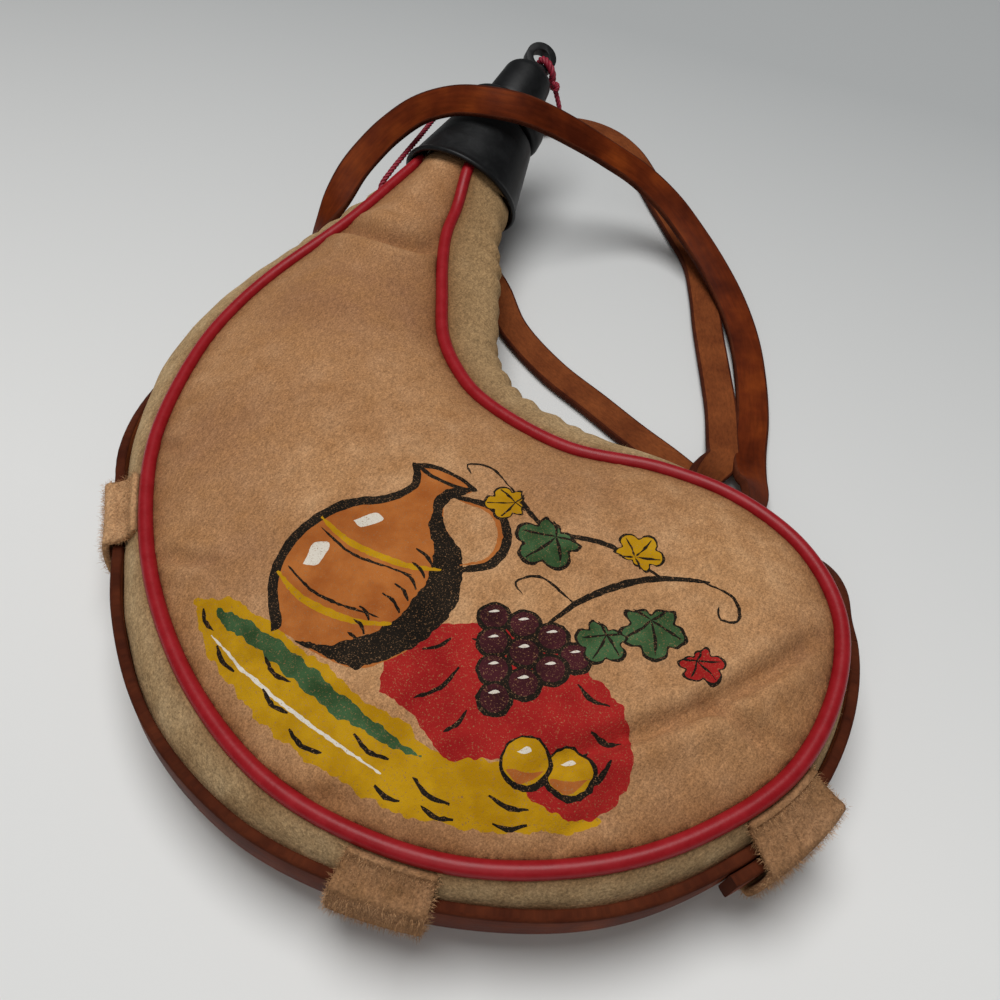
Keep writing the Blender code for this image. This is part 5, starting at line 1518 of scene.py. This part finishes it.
def laid_cord(name, line, pitch=CORD_PITCH, radius=RED_CORD_RADIUS):
    """A cord of three twisted plies round a line of close points."""
    line = np.array(line)
    plies = [[], [], []]
    for p, (normal, other), distance in zip(line, carried_frames(line), lengths_along(line)):
        for k, ply in enumerate(plies):
            angle = 2 * math.pi * (distance / pitch + k / len(plies))
            ply.append(p + radius * PLY_OFFSET_SHARE * (normal * math.cos(angle) + other * math.sin(angle)))
    return swept_tube(name, plies, radius * PLY_RADIUS_SHARE, PLY_SIDES, FINISH["cord"])


def make_red_cord(base):
    """The red cord: its loop through the eye, its knot, and the stretch back to the neck."""
    turn = math.radians(EYE_TURN_DEGREES)
    through = AXIS_UP * math.cos(turn) + SIDE * math.sin(turn)
    across = SIDE * math.cos(turn) - AXIS_UP * math.sin(turn)
    drop = math.radians(CORD_DROP_DEGREES)
    outward = across * math.cos(drop) - AXIS * math.sin(drop)
    loop_radius = LUG_THICKNESS / 2 + RED_CORD_RADIUS + 2 * GAP
    reach = LUG_RADIUS + RED_CORD_RADIUS + 2 * GAP - LUG_RADIUS * LOOP_SHARE
    centre = RIM + AXIS * (base + STOPPER_LENGTH + LUG_STANDOFF) + outward * reach
    loop = laid_cord("visual_cord_loop", [
        np.array(centre + loop_radius * (outward * math.cos(a) * LOOP_STRETCH + through * math.sin(a)))
        for a in np.linspace(0.0, 2 * math.pi, LOOP_STEPS)
    ], LOOP_PITCH, LOOP_CORD_RADIUS)
    ride_for(loop, "stopper", "crimson_cord", "cord_loop")
    middle = centre + outward * (loop_radius * LOOP_STRETCH + RED_CORD_RADIUS + KNOT_RADIUS * 0.6)
    size = KNOT_RADIUS * 0.3
    # A trefoil, drawn tight
    knot = laid_cord("visual_cord_knot", [
        np.array(middle + size * (
            outward * (math.sin(a) + 2 * math.sin(2 * a)) + through * (math.cos(a) - 2 * math.cos(2 * a))
            - AXIS * math.sin(3 * a)
        )) for a in np.linspace(0.0, 2 * math.pi, KNOT_STEPS)
    ], CORD_PITCH / 2, RED_CORD_RADIUS * 0.9)
    ride_for(knot, "stopper", "crimson_cord", "cord_knot")

    front, back, bulge, out = seam_at(CORD_END_SHARE)
    section = gusset_profile(front, back, bulge, out, RED_CORD_RADIUS / 2)
    end = section[round(CORD_END_LEVEL_SHARE * (len(section) - 1))]
    route = [np.array(RIM + SIDE * x + AXIS_UP * up + AXIS * z) for x, up, z in RED_CORD_ROUTE]
    dense = smooth_curve([np.array(middle), *route[1:], end])[::-1]
    total = lengths_along(dense)[-1]
    halves = [sample(dense, np.arange(a, b, CORD_STEP)) for a, b in ((0.0, total / 2), (total / 2, total))]
    lower, upper = laid_cord("visual_cord_lower", halves[0]), laid_cord("visual_cord_upper", halves[1])
    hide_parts("stopper_cord")
    carriers = (("bag", "spout_seal"), ("spout", "stopper_seal"))
    for cord, line, bodies in zip((lower, upper), halves, carriers):
        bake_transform(cord)


def make_camera():
    """The camera at the photograph's viewing angle."""
    data = bpy.data.cameras.new("camera")
    data.sensor_width = 36.0
    data.sensor_fit = "HORIZONTAL"
    data.lens = data.sensor_width * CAMERA_LENS_SHARE
    data.clip_start = 0.01
    made = bpy.data.objects.new("camera", data)
    made.location = CAMERA_PLACE
    made.rotation_euler = (math.radians(CAMERA_TILT_DEGREES), 0.0, math.radians(CAMERA_TURN_DEGREES))
    bpy.context.scene.collection.objects.link(made)
    bpy.context.scene.camera = made


def make_stage():
    """A pale table and plain soft studio light."""
    bpy.ops.object.select_all(action="DESELECT")
    bpy.ops.mesh.primitive_plane_add(size=TABLE_SIZE, location=(0.0, 0.0, 0.0))
    floor = bpy.context.object
    floor.name = "table"
    floor.data.materials.append(falloff_shaded_board("pale_table"))
    world = bpy.data.worlds.new("studio")
    bpy.context.scene.world = world
    world.use_nodes = True
    background = world.node_tree.nodes["Background"]
    background.inputs["Color"].default_value = linear_colour(ROOM_COLOUR)
    background.inputs["Strength"].default_value = ROOM_STRENGTH
    for name, place, size, power in LAMPS:
        data = bpy.data.lights.new(name, "AREA")
        data.shape = "DISK"
        data.size = size
        data.energy = power
        lamp = bpy.data.objects.new(name, data)
        lamp.location = place
        lamp.rotation_euler = (LAMP_AIM - Vector(place)).to_track_quat("-Z", "Y").to_euler()
        bpy.context.scene.collection.objects.link(lamp)
    bpy.context.scene.view_settings.view_transform = "Standard"


def give_finish(node, key):
    """A CAD node that stays takes a finish."""
    piece = frame["nodes"][node]
    piece.data.materials.clear()
    piece.data.materials.append(FINISH[key])


def main():
    """Build the stage and every visual piece; all but the red cord's two stretches ride on their bodies."""
    make_camera()
    make_stage()
    held, lap, free, line, length = make_strap()
    for piece, node in ((held, "strap_held"), (lap, "strap_lap"), (free, "strap_free")):
        ride_for(piece, "bag", "saddle_leather", node)
    front, back = make_panels()
    thicken(front, LEATHER_THICKNESS, -1.0)
    thicken(back, LEATHER_THICKNESS / 2, -1.0)
    ride_for(front, "bag", "tan_suede", "front_panel")
    ride_for(back, "bag", "tan_suede", "back_panel")
    gusset, rows = make_gusset()
    make_gusset_fibres(rows)
    thicken(gusset, LEATHER_THICKNESS / 2, -1.0)
    ride_for(gusset, "bag", "natural_suede", "gusset")
    make_piping()
    for piece, node in zip(make_keepers(), KEEPER_SHARES):
        ride_for(piece, "bag", "natural_suede", node)
    make_red_cord(make_mouthpiece())
    give_finish("bladder", "latex")
    give_finish("neck_binding", "wire")


main()
